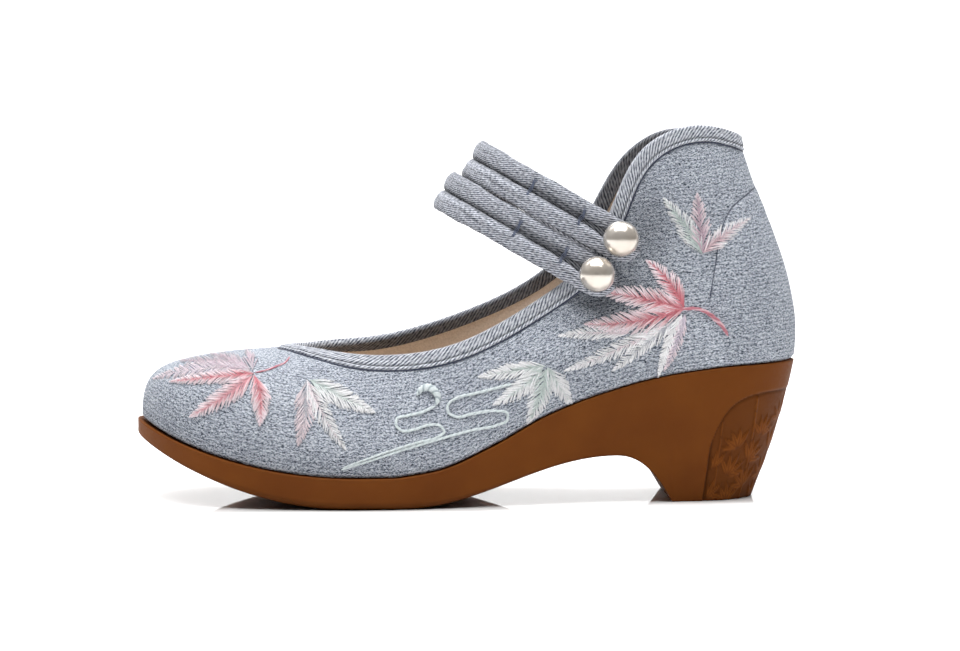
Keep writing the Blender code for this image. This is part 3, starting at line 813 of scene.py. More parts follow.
def cloth_surface(turns, distances, length):
    """Outer face of the cloth, with its rolled hem, its creases and the dip along the tape's edge."""
    dip_depth, dip_width, dip_gap, sway_height = 0.35, 0.6, 0.3, 0.10
    points, normals = along_meridians(turns, distances)
    hem = np.clip(1 - distances / HEM_RADIUS, 0, 1)
    tuck = HEM_RADIUS * (1 - np.sqrt(1 - hem**2))
    drop = length[:, None] + EDGE_DROP - distances
    tape_edge = EDGE_DROP + (TAPE_WIDTH - EDGE_DROP + dip_gap) * tape_stretch(turns)[0]
    dip = dip_depth * bell(drop - tape_edge[:, None], dip_width)
    angle = np.radians(turns)[:, None]
    sway = sway_height * np.sin(17 * angle + 0.11 * distances) * np.sin(0.19 * distances + 5 * angle)
    inset = tuck + dip + crease_depth(points) - sway
    return points - normals * inset[..., None], normals


def build_upper(look):
    """The crepe shell."""
    top_band, top_levels, back_levels = 14.0, 26, 12
    turns = even_turns(CLOTH_TURNS)
    distances, length = cloth_distances(turns, CLOTH_LEVELS, top_band, top_levels)
    outer, _ = cloth_surface(turns, distances, length)
    back = length[:, None] * np.linspace(1, 0, back_levels)
    inner, normals = along_meridians(turns, back)
    inner = inner - normals * (CLOTH_THICKNESS + crease_depth(inner))[..., None]
    grid = np.concatenate([outer, inner], 1)
    faces = grid_faces(len(turns), grid.shape[1], True, True)
    piece = add_piece("upper_cloth", grid, faces, look, ["upper"])
    # The cloth's shade numbers: painted shade above the sole and painted shade and light patches.
    set_values(piece, "shade", np.concatenate([cloth_shade(outer, distances), np.ones(back.shape)], 1))
    set_values(piece, "weft", np.concatenate([distances, back], 1))
    return piece


def build_lining(look):
    """The lining inside the shell."""
    skin_gap, columns, inner_levels, outer_levels = 0.05, 300, 40, 10
    turns = even_turns(columns)
    length = meridian_lengths(turns) - EDGE_DROP
    inner, inner_normals = along_meridians(turns, length[:, None] * np.linspace(0, 1, inner_levels))
    outer, outer_normals = along_meridians(turns, length[:, None] * np.linspace(1, 0, outer_levels))
    inner = inner - inner_normals * (WALL + crease_depth(inner))[..., None]
    outer = outer - outer_normals * (CLOTH_THICKNESS + skin_gap + crease_depth(outer))[..., None]
    grid = np.concatenate([inner, outer], 1)
    faces = grid_faces(len(turns), grid.shape[1], True, True)
    return add_piece("upper_lining", grid, faces, look)


def build_insole(look):
    """The sock: a soft plate with a rounded edge."""
    columns, rim_points, rounding = 36, 240, 1.2
    turns = even_turns(rim_points)
    inward = plan_frame(feather_line, turns)[1]
    rim = feather_line(turns) + inward * (WALL + INSOLE_SIDE_GAP)
    half = len(turns) // 2
    lateral = rim[: half + 1]
    medial = np.concatenate([rim[:1], rim[:half - 1:-1]])
    share = np.linspace(0, 1, columns)[None, :, None]
    plan = lateral[:, None] * (1 - share) + medial[:, None] * share
    seat = feather_height(plan[..., 0]) + GAP
    width = np.linalg.norm(medial - lateral, axis=-1)[:, None]
    edge = np.minimum(share[..., 0], 1 - share[..., 0]) * width
    crown = INSOLE_THICKNESS - rounding * bell(edge, rounding)
    upper = lifted(plan, seat + crown)
    lower = lifted(plan, seat)
    count = plan.shape[0] * columns
    faces = grid_faces(plan.shape[0], columns)
    ring = np.concatenate([
        np.arange(plan.shape[0]) * columns,
        (np.arange(plan.shape[0]) * columns + columns - 1)[::-1],
    ])
    following = np.roll(ring, -1)
    side = np.stack([ring, following, following + count, ring + count], -1)
    faces = np.concatenate([faces[:, ::-1], faces + count, side])
    points = np.concatenate([upper.reshape(-1, 3), lower.reshape(-1, 3)])
    return add_piece("insole_sock", points, faces, look, ["insole"])


def counter_heights(count, inset=0.0):
    """Turns round the heel counter, the lengths of their meridians and how far up them it reaches."""
    start = turn_at(COUNTER[0].along + inset)
    turns = np.linspace(start, 360 - start, count)
    length = meridian_lengths(turns)
    return turns, length, (length * by_length(COUNTER, "top", feather_along(turns)))[:, None]


def build_counter(look):
    """The heel counter's patch: a soft step along its upper edge that dies out towards the front."""
    columns, levels = 150, 40
    lift, thickness, edge_width, front_width = 0.02, 0.28, 1.4, 12.0
    turns, length, height = counter_heights(columns + 1)
    distances = height * np.linspace(0, 1, levels + 1)
    points, normals = cloth_surface(turns, distances, length - EDGE_DROP)
    to_front = np.minimum(feather_along(turns) - COUNTER[0].along, front_width)[:, None]
    step = smooth(0.0, edge_width, height - distances) * smooth(0.0, front_width, to_front)
    over = points + normals * (lift + thickness * np.sqrt(step))[..., None]
    under = points - normals * CLOTH_THICKNESS / 2
    grid = np.concatenate([over, under[:, ::-1]], 1)
    faces = grid_faces(columns + 1, grid.shape[1], False, True)
    ends = [np.arange(grid.shape[1]), np.arange(grid.shape[1])[::-1] + columns * grid.shape[1]]
    faces = [list(face) for face in faces] + [list(end) for end in ends]
    piece = add_piece("heel_counter_patch", grid, faces, look, ["heel_counter"])
    set_values(piece, "shade", np.ones(grid.shape[:2]))
    set_values(piece, "weft", np.concatenate([distances, distances[:, ::-1]], 1))
    return piece


def counter_edge():
    """The counter's edge as points on the cloth, from one lower corner over the heel to the other."""
    inset, steps = 1.4, 240
    turns, length, height = counter_heights(steps, inset)
    points, normals = cloth_surface(turns, height, length - EDGE_DROP)
    return points[:, 0], normals[:, 0]


def build_counter_seam(look):
    """The dark seam line round the counter's edge, with a knot at each end."""
    radius, knot, knot_steps, lift = 0.15, 0.2, 2.0, 0.1
    points, normals = counter_edge()
    count = np.arange(len(points))
    to_end = np.minimum(count, count[::-1])
    radii = (radius + knot * bell(to_end, knot_steps))[None]
    tube = sweep(points[None] + normals[None] * lift, normals[None], radii)
    return add_threads("heel_counter_seam", tube, look, SEAM_AND_SHADOW_LINE)


# Twill tape: the binding and the straps


def ribs(phase):
    """Rounded ridges with sharp grooves, one a unit of phase."""
    return np.abs(np.sin(math.pi * phase)) ** 0.7


def even_topline(count):
    """Turns evenly spaced along the topline, with their distances along it."""
    dense = np.linspace(0, 360, DENSE_TURNS)
    run = distances_along(topline(dense))
    runs = run[-1] * np.arange(count) / count
    return np.interp(runs, run, dense), runs, run[-1]


def build_binding(look):
    """Twill tape folded over the topline: slanting ribs, a rolled edge and a stitched ditch above it."""
    stations, arc_steps, leg_steps = 1500, 13, 19
    rib_pitch, rib_slant, rib_height, dash_pitch = 1.6, 1.15, 0.2, 0.8
    outer_rise, top_rise = 0.75, 1.1
    roll, ditch, ditch_width, inside_shade, painted_throat_light = 1.35, 0.5, 0.36, 0.42, 0.3
    inner_share, collar_from, collar_to, collar_extra = 0.8, 95.0, 125.0, 0.2
    edge_round, soft_end, skin, hem, painted_roll_highlight, painted_ditch_shade = 0.55, 0.5, 0.02, 0.2, 0.25, 0.6
    turns, runs, total = even_topline(stations)
    rib_pitch = total / round(total / rib_pitch)
    stretch, drift = tape_stretch(turns)
    drops = np.linspace(TAPE_WIDTH + hem, EDGE_DROP, leg_steps)
    outer_drops = EDGE_DROP + (drops - EDGE_DROP) * stretch[:, None]
    points, normals = along_meridians(turns, meridian_lengths(turns)[:, None] - outer_drops)
    edge, edge_out = points[:, -1], normals[:, -1]
    over = unit(edge - points[:, -4])
    to_edge = drops[0] - drops
    rise = outer_rise * np.sqrt(np.clip(1 - (1 - np.clip(to_edge / edge_round, 0, 1)) ** 2, 0, 1))
    in_ditch = bell(to_edge - roll, ditch_width)
    angle = np.linspace(0, math.pi, arc_steps)[1:-1]
    half = WALL / 2 + outer_rise
    middle = edge - edge_out * WALL / 2
    arc_way = edge_out[:, None] * np.cos(angle)[:, None] + over[:, None] * np.sin(angle)[:, None]
    arc = (
        middle[:, None]
        + edge_out[:, None] * (half * np.cos(angle))[:, None]
        + over[:, None] * (top_rise * np.sin(angle))[:, None]
    )
    outside = points + normals * (rise - ditch * in_ditch)[:, None]
    from_toe = np.minimum(turns, 360 - turns)
    wider = inner_share + collar_extra * smooth(collar_from, collar_to, from_toe)
    inner_drops = EDGE_DROP + (outer_drops - EDGE_DROP) * wider[:, None]
    back, back_normals = along_meridians(turns, meridian_lengths(turns)[:, None] - inner_drops)
    inside = (back - back_normals * (WALL + rise)[:, None])[:, ::-1]
    surface = np.concatenate([outside, arc, inside], 1)
    ways = np.concatenate([normals, arc_way, -back_normals[:, ::-1]], 1)
    across = distances_along(surface[0])
    at_top = np.full((stations, len(angle)), EDGE_DROP)
    slid = np.concatenate([outer_drops, at_top, inner_drops[:, ::-1]], 1) * drift[:, None]
    phase = (runs[:, None] - slid - rib_slant * across) / rib_pitch
    fade = smooth(roll, roll + soft_end, across) * smooth(0.0, soft_end, across[-1] - across)
    surface = surface + ways * (rib_height * ribs(phase) * fade)[..., None]
    lower = np.array([1, leg_steps - 1])
    under_in = back[:, lower] - back_normals[:, lower] * (WALL + skin)
    under_out = (points[:, lower] + normals[:, lower] * skin)[:, ::-1]
    grid = np.concatenate([surface, under_in, under_out], 1)
    faces = grid_faces(stations, grid.shape[1], True, True)
    piece = add_piece("topline_binding_tape", grid, faces, look, ["topline_binding"])
    hidden = np.zeros((stations, 4))
    # Painted shade on the tape: its inner face is darker, less so in the throat where painted light lifts
    # it; the stitched ditch gets painted shade and the rolled edge a painted highlight.
    inside = (inside_shade + painted_throat_light * smooth(75.0, 45.0, from_toe))[:, None]
    painted_outer_shade = 1.0 + painted_roll_highlight * smooth(roll, roll - 0.3, to_edge) - painted_ditch_shade * in_ditch
    shade = np.concatenate([
        np.broadcast_to(painted_outer_shade, (stations, leg_steps)),
        inside + (1 - inside) * smooth(0.75 * math.pi, 0.45 * math.pi, angle),
        np.broadcast_to(inside, (stations, leg_steps + 4)),
    ], 1)
    dash = np.broadcast_to(across / dash_pitch, phase.shape)
    set_values(piece, "rib", np.concatenate([phase, hidden], 1), total / rib_pitch)
    set_values(piece, "dash", np.concatenate([dash, hidden], 1))
    set_values(piece, "shade", shade)
    return piece


def build_tape_shadow_line(look):
    """A dark thread laid along the tape's lower edge: a painted shadow line of the gap under the tape."""
    gap, radius, sunk, stations = 0.45, 0.34, 0.12, 900
    turns = even_topline(stations)[0]
    drops = EDGE_DROP + (TAPE_WIDTH + gap - EDGE_DROP) * tape_stretch(turns)[0]
    points, normals = along_meridians(turns, (meridian_lengths(turns) - drops)[:, None])
    path = np.concatenate([points[:, 0], points[:1, 0]])[None]
    out = np.concatenate([normals[:, 0], normals[:1, 0]])[None]
    tube = sweep(path - out * sunk, out, np.full(path.shape[:2], radius))
    return add_threads("topline_painted_shadow_line", tube, look, SEAM_AND_SHADOW_LINE)


def lateral_spot(tree, along, up):
    """Point of the upper's lateral side at a distance from the toe and a height."""
    far_out = -100.0
    hit = tree.ray_cast(Vector(place([along, far_out, up])), Vector((0, 1, 0)))[0]
    return unplace(hit)


STANDOFF = GAP + TAPE + GAP + TUBE_HALF_THICKNESS


def leg_plan(strap, spot, step):
    """Plan of a strap's tube: along one leg, round the pearl and back, as run, sideways and half width."""
    slit, fullness, full_from, full_to = 0.18, 0.24, 38.0, 50.0
    end_run = 2 * strap_quarter(spot, STANDOFF, strap.rise) + STRAP_TAIL
    leg = np.linspace(end_run, 0, int(end_run / step))
    spread = smooth(0, 1, 1 - leg / LOOP_TAPER)
    tack_near, tack_far = strap.tacks
    open_slit = slit * np.sin(math.pi * np.clip((leg - tack_near) / (tack_far - tack_near), 0, 1))
    full = fullness * smooth(full_from, full_to, leg)
    sway = 0.10 * np.sin(leg * 0.31) + 0.06 * np.sin(leg * 0.83 + 1.0)
    sideways = LEG_SPACING + (LOOP_RADIUS - LEG_SPACING) * spread + open_slit + full
    half_width = TUBE_HALF_WIDTH + (LOOP_HALF_WIDTH - TUBE_HALF_WIDTH) * spread + full + sway
    bend = np.linspace(0, math.pi, int(math.pi * LOOP_RADIUS / step))[1:-1]
    there = np.stack([leg, sideways, half_width], -1)
    loop = np.stack(
        [-LOOP_REACH * np.sin(bend), LOOP_RADIUS * np.cos(bend), np.full(len(bend), LOOP_HALF_WIDTH)], -1
    )
    return np.concatenate([there, loop, there[::-1] * [1, -1, 1]])


def build_strap(strap, spot, look):
    """A folded twill tube: two legs sewn side by side, pinched at the tacks, and a loop round the pearl."""
    step, outer_points, inner_points = 0.42, 36, 10
    rib_pitch, rib_slant, rib_height, dash_pitch = 0.85, 0.5, 0.1, 0.9
    full_face, wrinkle, pleat_depth, pinch_length, pinch_depth = 1.25, 0.16, 0.3, 1.3, 0.3
    plan = leg_plan(strap, spot, step)
    heading = unit(np.gradient(plan[:, :2], axis=0))
    a = np.concatenate([
        np.linspace(0, math.pi, outer_points, endpoint=False),
        np.linspace(math.pi, 2 * math.pi, inner_points, endpoint=False),
    ])
    shift = plan[:, 2:3] * np.cos(a)
    at_run = plan[:, 0:1] - heading[:, 1:2] * shift
    at_side = plan[:, 1:2] + heading[:, 0:1] * shift
    centre, normal, width = strap_frame(spot, STANDOFF, strap.rise, at_run)
    pinch = sum(bell(at_run - tack, pinch_length) for tack in strap.tacks)
    phase = (at_side - rib_slant * at_run) / rib_pitch
    face = np.where(np.sin(a) > 0, full_face, 1.0)
    height = TUBE_HALF_THICKNESS * face * (1 - pinch_depth * pinch) * np.sin(a)
    waves = np.sin(0.9 * at_run + 0.5 * at_side) * np.sin(0.37 * at_run - 0.8 * at_side)
    folds = wrinkle * waves - pleat_depth * pleats(at_run, at_side)
    height = height + (rib_height * (ribs(phase) - 0.5) + folds) * np.sin(a)
    grid = centre + width * at_side[..., None] + normal * height[..., None]
    section = len(a)
    faces = [list(face) for face in grid_faces(len(plan), section, False, True)]
    faces.append(list(range(section))[::-1])
    faces.append([(len(plan) - 1) * section + k for k in range(section)])
    piece = add_piece(strap.node + "_tube", grid, faces, look, [strap.node])
    set_values(piece, "rib", phase)
    set_values(piece, "dash", (at_run + rib_slant * at_side) / dash_pitch)
    set_values(piece, "shade", strap_shade(strap, at_run, at_side, pinch))
    return piece


def pleat_wander(run):
    """How far the creases along a strap stray to the side."""
    return 0.35 * np.sin(0.23 * run) + 0.2 * np.sin(0.61 * run + 2.0)


def pleats(run, side):
    """Uneven lengthwise creases, one down the middle of each leg of a strap."""
    lower_side, lower_width, upper_side, upper_width = 4.0, 0.7, 4.3, 0.6
    wander = pleat_wander(run)
    lower = bell(side - lower_side - wander, lower_width) * (0.7 + 0.3 * np.sin(0.17 * run + 1.0))
    upper = bell(side + upper_side + wander, upper_width) * (0.5 + 0.3 * np.sin(0.21 * run + 2.5))
    return lower + upper


def strap_shade(strap, run, side, pinch):
    """Painted shade along a strap: in the fold, most between the tacks, on the upper leg, at the rims, in
    the creases and at the tacks; a painted highlight on the lower ridge; and lengthwise streaks.
    """
    base, streak_depth, upper_rim, lower_rim = 1.05, 0.1, 0.16, 0.12
    painted_fold_shade, painted_upper_shade, painted_ridge_highlight, pleat_depth, painted_tack_shade = 0.52, 0.18, 0.2, 0.3, 0.3
    fold_side, fold_width, open_side, open_width = 0.35, 0.85, 0.75, 0.95
    ridge_side, ridge_width, tack_side, tack_width = 1.9, 0.8, 0.8, 3.0
    tack_near, tack_far = strap.tacks
    between = smooth(tack_near - 1.0, tack_near + 1.5, run) * smooth(tack_far + 1.0, tack_far - 1.5, run)
    fold = bell(side + fold_side + open_side * between, fold_width + open_width * between)
    upper = smooth(-6.0, -1.5, side) * (side < 0)
    ridge = bell(side - ridge_side - 0.4 * pleat_wander(run), ridge_width)
    waver = 1.5 * np.sin(0.21 * run + strap.rise)
    streak = np.sin(4.1 * side + 0.35 * run + waver) + np.sin(7.3 * side - 0.5 * run + 2 * waver)
    painted_rims = upper_rim * smooth(-5.0, -7.0, side) + lower_rim * smooth(5.6, 7.2, side)
    shade = base + streak_depth * streak - painted_rims - painted_fold_shade * fold - painted_upper_shade * upper
    shade = shade + painted_ridge_highlight * ridge - pleat_depth * pleats(run, side)
    return shade - painted_tack_shade * pinch * bell(side + tack_side, tack_width)


def build_strap_fold(strap, spot, look):
    """The shaded fold at the bottom of the slit between a strap's legs."""
    half_width, wide_end, thickness, steps, sides = 1.6, 1.0, 0.5, 160, 8
    rib_pitch, rib_slant, dash_pitch, fold_shade, near_gap, far_gap = 1.2, 0.5, 0.9, 0.42, 0.8, 5.0
    quarter = strap_quarter(spot, STANDOFF, strap.rise)
    run = np.linspace(SHANK_RADIUS + near_gap, 2 * quarter - far_gap, steps)
    centre, normal, _ = strap_frame(spot, STANDOFF, strap.rise, run)
    path = (centre - normal * thickness)[None]
    radii = (half_width + wide_end * smooth(LOOP_TAPER, 0.0, run))[None]
    tube = sweep(path, normal[None], radii, sides, thickness / half_width)
    piece = add_piece(strap.node + "_fold", tube, thread_faces(*tube.shape[:3]), look)
    along = np.broadcast_to(run[None, :, None], tube.shape[:3])
    around_it = np.broadcast_to(2.0 * np.abs(np.arange(sides) - sides / 2), tube.shape[:3])
    set_values(piece, "rib", (around_it - along * rib_slant) / rib_pitch)
    set_values(piece, "dash", along / dash_pitch)
    set_values(piece, "shade", np.full(tube.shape[:3], fold_shade))
    return piece


def build_tacks(strap, spot, look):
    """Bar tacks: close rows of thread across the fold, higher on the upper leg than on the lower one."""
    up_reach, down_reach, steps, rows, spacing, radius = 4.6, 2.6, 21, 3, 0.34, 0.17
    side = np.linspace(-up_reach, down_reach, steps)
    leg = np.sqrt(np.clip(1 - ((np.abs(side) - LEG_SPACING) / TUBE_HALF_WIDTH) ** 2, 0.1, 1))
    ends = smooth(0.0, 0.9, np.minimum(side + up_reach, down_reach - side))
    paths, normals = [], []
    for tack in strap.tacks:
        for row in range(rows):
            run = tack + (row - (rows - 1) / 2) * spacing + 0.16 * np.sin(side * 1.7 + row)
            centre, normal, width = strap_frame(spot, STANDOFF, strap.rise, run)
            height = TUBE_HALF_THICKNESS * (0.9 * leg - 0.25 * (1 - ends)) + 0.1
            paths.append(centre + width * side[:, None] + normal * height[:, None])
            normals.append(normal)
    tube = sweep(np.array(paths), np.array(normals), np.full((len(paths), steps), radius))
    return add_threads(strap.node + "_tacks", tube, look, TACK)


def build_pearl(strap, spot, look):
    """A pearl on its shank."""
    sides, bands, pole, shank_sides, shank_steps = 72, 48, 0.02, 16, 4
    radius = PEARL_DIAMETER / 2
    foot, normal, _ = strap_frame(spot, STANDOFF, strap.rise, 0.0)
    centre = foot + normal * PEARL_CLEARANCE
    turn = np.linspace(0, 2 * math.pi, sides, endpoint=False)
    ring = np.stack([np.cos(turn), np.sin(turn), np.zeros(sides)], -1)
    a = np.linspace(math.pi - pole, pole, bands)[:, None, None]
    bead = centre + radius * (ring * np.sin(a) + np.array([0.0, 0.0, 1.0]) * np.cos(a))
    faces = [list(face) for face in grid_faces(bands, sides, False, True)[:, ::-1]]
    faces.append(list(range(sides))[::-1])
    faces.append([(bands - 1) * sides + k for k in range(sides)])
    climb = np.linspace(-TUBE_HALF_THICKNESS, PEARL_CLEARANCE - radius / 2, shank_steps)
    path = (foot + normal * climb[:, None])[None]
    upright = np.broadcast_to([0.0, 0.0, 1.0], path.shape)
    shank = sweep(path, upright, np.full(path.shape[:2], SHANK_RADIUS), shank_sides)
    faces += [list(face) for face in thread_faces(*shank.shape[:3]) + bands * sides]
    points = np.concatenate([bead.reshape(-1, 3), shank.reshape(-1, 3)])
    return add_piece(strap.pearl + "_bead", points, faces, look, [strap.pearl])


# The moulded sole

# The heel's relief on either side of the back: canes, with their distance round from it and their lean, and
# sprays of slim leaves, with their place as distance round and depth below the seat, their turn in degrees
# and the length of their leaves
Cane = namedtuple("Cane", "round lean width")
CANES = (
    Cane(7.0, 0.05, 1.7),
    Cane(21.0, -0.12, 1.5),
    Cane(34.5, -0.05, 1.3),
)
Spray = namedtuple("Spray", "round down turn long")
SPRAYS = (
    Spray(6.0, 22.0, 26, 9.0),
    Spray(8.0, 33.0, -28, 10.0),
    Spray(7.0, 43.0, 30, 10.0),
    Spray(9.0, 51.0, -12, 8.0),
    Spray(17.0, 27.0, -10, 9.0),
    Spray(20.5, 36.0, -30, 10.0),
    Spray(19.0, 46.0, 26, 10.0),
    Spray(27.0, 31.0, 30, 9.0),
    Spray(29.0, 41.0, -24, 10.0),
    Spray(27.0, 51.0, 8, 9.0),
    Spray(36.0, 38.0, 20, 9.0),
    Spray(37.0, 49.0, -22, 10.0),
    Spray(44.0, 46.0, 12, 9.0),
)
SPRAY_LEANS = (-58, -28, 0, 26, 54)


def relief(round_back, down):
    """Height, from 0 to 1, of canes and leaves on the heel panel; its two sides mirror each other."""
    leaf_width, shoulder, vein_width, vein_depth = 2.3, 0.5, 0.25, 0.4
    knuckle_pitch, knuckle_width, knuckle_depth, cane_height, middle = 11.0, 0.35, 0.6, 0.8, 30.0
    height = np.zeros(round_back.shape)
    for cane in CANES:
        off = np.abs(np.abs(round_back) - cane.round - cane.lean * (down - middle))
        knuckle = np.abs((down + cane.round) % knuckle_pitch - knuckle_pitch / 2)
        notch = 1 - knuckle_depth * bell(knuckle, knuckle_width)
        body = smooth(0.0, shoulder, cane.width / 2 - off) * notch
        height = np.maximum(height, cane_height * body)
    for spray in SPRAYS:
        x, y = np.abs(round_back) - spray.round, spray.down - down
        for lean in SPRAY_LEANS:
            angle = math.radians(lean + spray.turn)
            run = np.clip((y * math.cos(angle) + x * math.sin(angle)) / spray.long, 0, 1)
            off = np.abs(x * math.cos(angle) - y * math.sin(angle))
            half = leaf_width / 2 * np.sin(math.pi * run**0.75)
            body = smooth(0.0, shoulder, half - off)
            height = np.maximum(height, body * (1 - vein_depth * bell(off, vein_width)))
    return height


def sole_columns():
    """Turns round the sole, closer together round the heel's panel; the two sides mirror each other."""
    panel_step, plain_step, margin = 0.4, 1.2, 6
    dense = np.linspace(0, 180, DENSE_TURNS)
    line = feather_line(dense)
    step = np.where(line[:-1, 0] > PANEL_START - margin, panel_step, plain_step)
    count = np.concatenate([[0], np.cumsum(np.linalg.norm(np.diff(line, axis=0), axis=-1) / step)])
    lateral = np.interp(np.linspace(0, count[-1], int(count[-1])), count, dense)
    return np.concatenate([lateral, 360 - lateral[-2:0:-1]])


def build_sole(look):
    """Moulded unit sole: rounded edges, heel panel with its leaf relief, and a fine tread below."""
    rim_round, relief_rise, groove, levels = 0.55, 0.6, 0.35, 88
    panel_step, leaf_from, leaf_full, line_inset, line_width = 0.3, 0.9, 1.8, 0.45, 0.4
    sunk_least, sunk_from, sunk_full = 0.25, 3.0, 16.0
    top_points, foot_points, top_strips, under_strips = 5, 8, 12, 44
    painted_panel_shade, painted_leaf_highlight, painted_outline_shade, painted_line_shade, foot_shades = 0.18, 0.42, 0.4, 0.35, (0.85, 0.4)
    turns = sole_columns()
    upper_edge, lower_edge, round_edge, outward, heelward = sole_edges(turns)
    depth = (upper_edge - lower_edge)[:, 2]
    share = np.linspace(0, 1, levels)
    low = (rim_round / depth)[:, None]
    high = (1 - round_edge / depth)[:, None]
    depths = low + (high - low) * share
    wall = upper_edge[:, None] + (lower_edge - upper_edge)[:, None] * depths[..., None]
    swell = HEEL_BELLY * heelward[:, None] * 4 * depths * (1 - depths)
    down = depths * depth[:, None]
    middle = (upper_edge + lower_edge)[:, :2] / 2
    run = distances_along(middle)
    half = len(turns) // 2
    start = np.argmin(np.abs(turns - turn_at(PANEL_START)))
    round_back = np.broadcast_to((run[half] - run)[:, None], down.shape)
    into = np.minimum(
        (depths - panel_top(np.minimum(turns, 360 - turns))[:, None]) * depth[:, None],
        (run[half] - run[start]) - np.abs(round_back),
    )
    panel = smooth(-panel_step, panel_step, into)
    leaf = relief(round_back, down) * smooth(leaf_from, leaf_full, into)
    edge_line = bell(into - line_inset, line_width)
    sunk = sunk_least + (1 - sunk_least) * smooth(sunk_from, sunk_full, np.abs(round_back))
    swell = swell - sunk * (PANEL_DEPTH * panel - relief_rise * leaf + groove * edge_line)
    wall[..., :2] += outward[:, None] * swell[..., None]
    top_turn = np.linspace(0, math.pi / 2, top_points)[:-1]
    top = np.repeat(upper_edge[:, None], len(top_turn), 1)
    top[..., :2] -= outward[:, None] * (rim_round * (1 - np.sin(top_turn)))[None, :, None]
    top[..., 2] -= rim_round * (1 - np.cos(top_turn))
    foot_turn = np.linspace(0, math.pi / 2, foot_points)[1:]
    foot = np.repeat(wall[:, -1:], len(foot_turn), 1)
    foot[..., :2] -= outward[:, None] * (round_edge[:, None] * (1 - np.cos(foot_turn)))[..., None]
    foot[..., 2] -= round_edge[:, None] * np.sin(foot_turn)
    grid = np.concatenate([top, wall, foot], 1)
    columns = grid.shape[1]
    faces = grid_faces(len(turns), columns, True, False)
    points = [grid.reshape(-1, 3)]
    ring = np.arange(len(turns)) * columns
    faces = list(faces)
    for rim, rim_ring, strips, underside in (
        (grid[:, 0], ring, top_strips, False),
        (grid[:, -1], ring + columns - 1, under_strips, True),
    ):
        bridge_faces, bridge_points = bridge(rim, rim_ring, sum(map(len, points)), strips, underside)
        faces += bridge_faces
        points.append(bridge_points)
    # Painted shade on the sole: darker in the heel panel's ground, its outlines and edge groove, a painted
    # highlight on the raised leaves and canes, and painted shade along the rounded lower edge.
    shade = np.ones(sum(map(len, points)))
    outline = 4 * leaf * (1 - leaf) * panel
    ground = 1 - painted_panel_shade * panel * (1 - leaf) + painted_leaf_highlight * leaf
    ground = ground - painted_outline_shade * outline - painted_line_shade * edge_line
    on_grid = shade[: grid.shape[0] * columns].reshape(grid.shape[:2])
    on_grid[:, len(top_turn):-len(foot_turn)] = ground
    on_grid[:, -len(foot_turn):] = np.linspace(*foot_shades, len(foot_turn))
    piece = add_piece("outsole_moulded", np.concatenate(points), faces, look, ["outsole"])
    set_values(piece, "shade", shade)
    return piece


def tread(points, inset):
    """How deep the fine tread is cut at points of the underside."""
    groove_pitch, groove_depth, wave, wave_length = 4.2, 0.6, 1.6, 14.0
    front_start, front_end, fade, heel_start, heel_full = 34.0, 126.0, 6.0, 3.0, 5.0
    rim_from, rim_full = 3.5, 5.0
    along, side = points[..., 0], points[..., 1]
    phase = (along + wave * np.sin(side * 2 * math.pi / wave_length)) / groove_pitch
    groove = smooth(0.35, 0.75, np.cos(2 * math.pi * phase))
    front = smooth(front_start, front_start + fade, along) * smooth(front_end, front_end - fade, along)
    heel = smooth(BREAST + heel_start, BREAST + heel_full, along)
    return groove_depth * groove * np.maximum(front, heel) * smooth(rim_from, rim_full, inset)


def bridge(ring_points, ring, first_index, strips, underside):
    """Faces and inner points that close a ring running from toe to heel and back, straight across."""
    count = len(ring)
    half = count // 2
    near = np.arange(1, half)
    far = count - near
    share = np.linspace(0, 1, strips + 1)[1:-1]
    inner = ring_points[near][:, None] * (1 - share)[:, None] + ring_points[far][:, None] * share[:, None]
    if underside:
        width = np.linalg.norm(ring_points[near] - ring_points[far], axis=-1)[:, None]
        to_end = np.abs(inner[..., 0] - HEEL_FOOT_END)
        inset = np.minimum(np.minimum(share, 1 - share) * width, to_end)
        inner[..., 2] += tread(inner, inset)
    index = first_index + np.arange(inner.shape[0] * inner.shape[1]).reshape(inner.shape[:2])
    table = np.concatenate([ring[near][:, None], index, ring[far][:, None]], 1)
    quads = np.stack([table[:-1, :-1], table[1:, :-1], table[1:, 1:], table[:-1, 1:]], -1).reshape(-1, 4)
    toe = [[ring[0], a, b] for a, b in zip(table[0, :-1], table[0, 1:])]
    heel = [[ring[half], b, a] for a, b in zip(table[-1, :-1], table[-1, 1:])]
    faces = quads.tolist() + toe + heel
    return [face if underside else face[::-1] for face in faces], inner.reshape(-1, 3)


# Light, floor and camera


def camera_axes():
    """The camera's right, up and backward directions."""
    back = np.array([
        -math.sin(CAMERA_AZIMUTH) * math.cos(CAMERA_ELEVATION),
        -math.cos(CAMERA_AZIMUTH) * math.cos(CAMERA_ELEVATION),
        math.sin(CAMERA_ELEVATION),
    ])
    right = np.array([math.cos(CAMERA_AZIMUTH), -math.sin(CAMERA_AZIMUTH), 0.0])
    return right, np.cross(back, right), back


def add_camera():
    right, up, back = camera_axes()
    location = (np.array(CAMERA_AIM) + back * CAMERA_DISTANCE) * MM
    data = bpy.data.cameras.new("camera")
    data.lens = SENSOR * FOCAL_PIXELS / FRAME_WIDTH
    data.sensor_width = SENSOR
    data.clip_start = 0.05
    data.clip_end = 20.0
    camera = bpy.data.objects.new("camera", data)
    camera.matrix_world = Matrix([
        [right[k], up[k], back[k], location[k]] for k in range(3)
    ] + [[0, 0, 0, 1]])
    bpy.context.scene.collection.objects.link(camera)
    bpy.context.scene.camera = camera


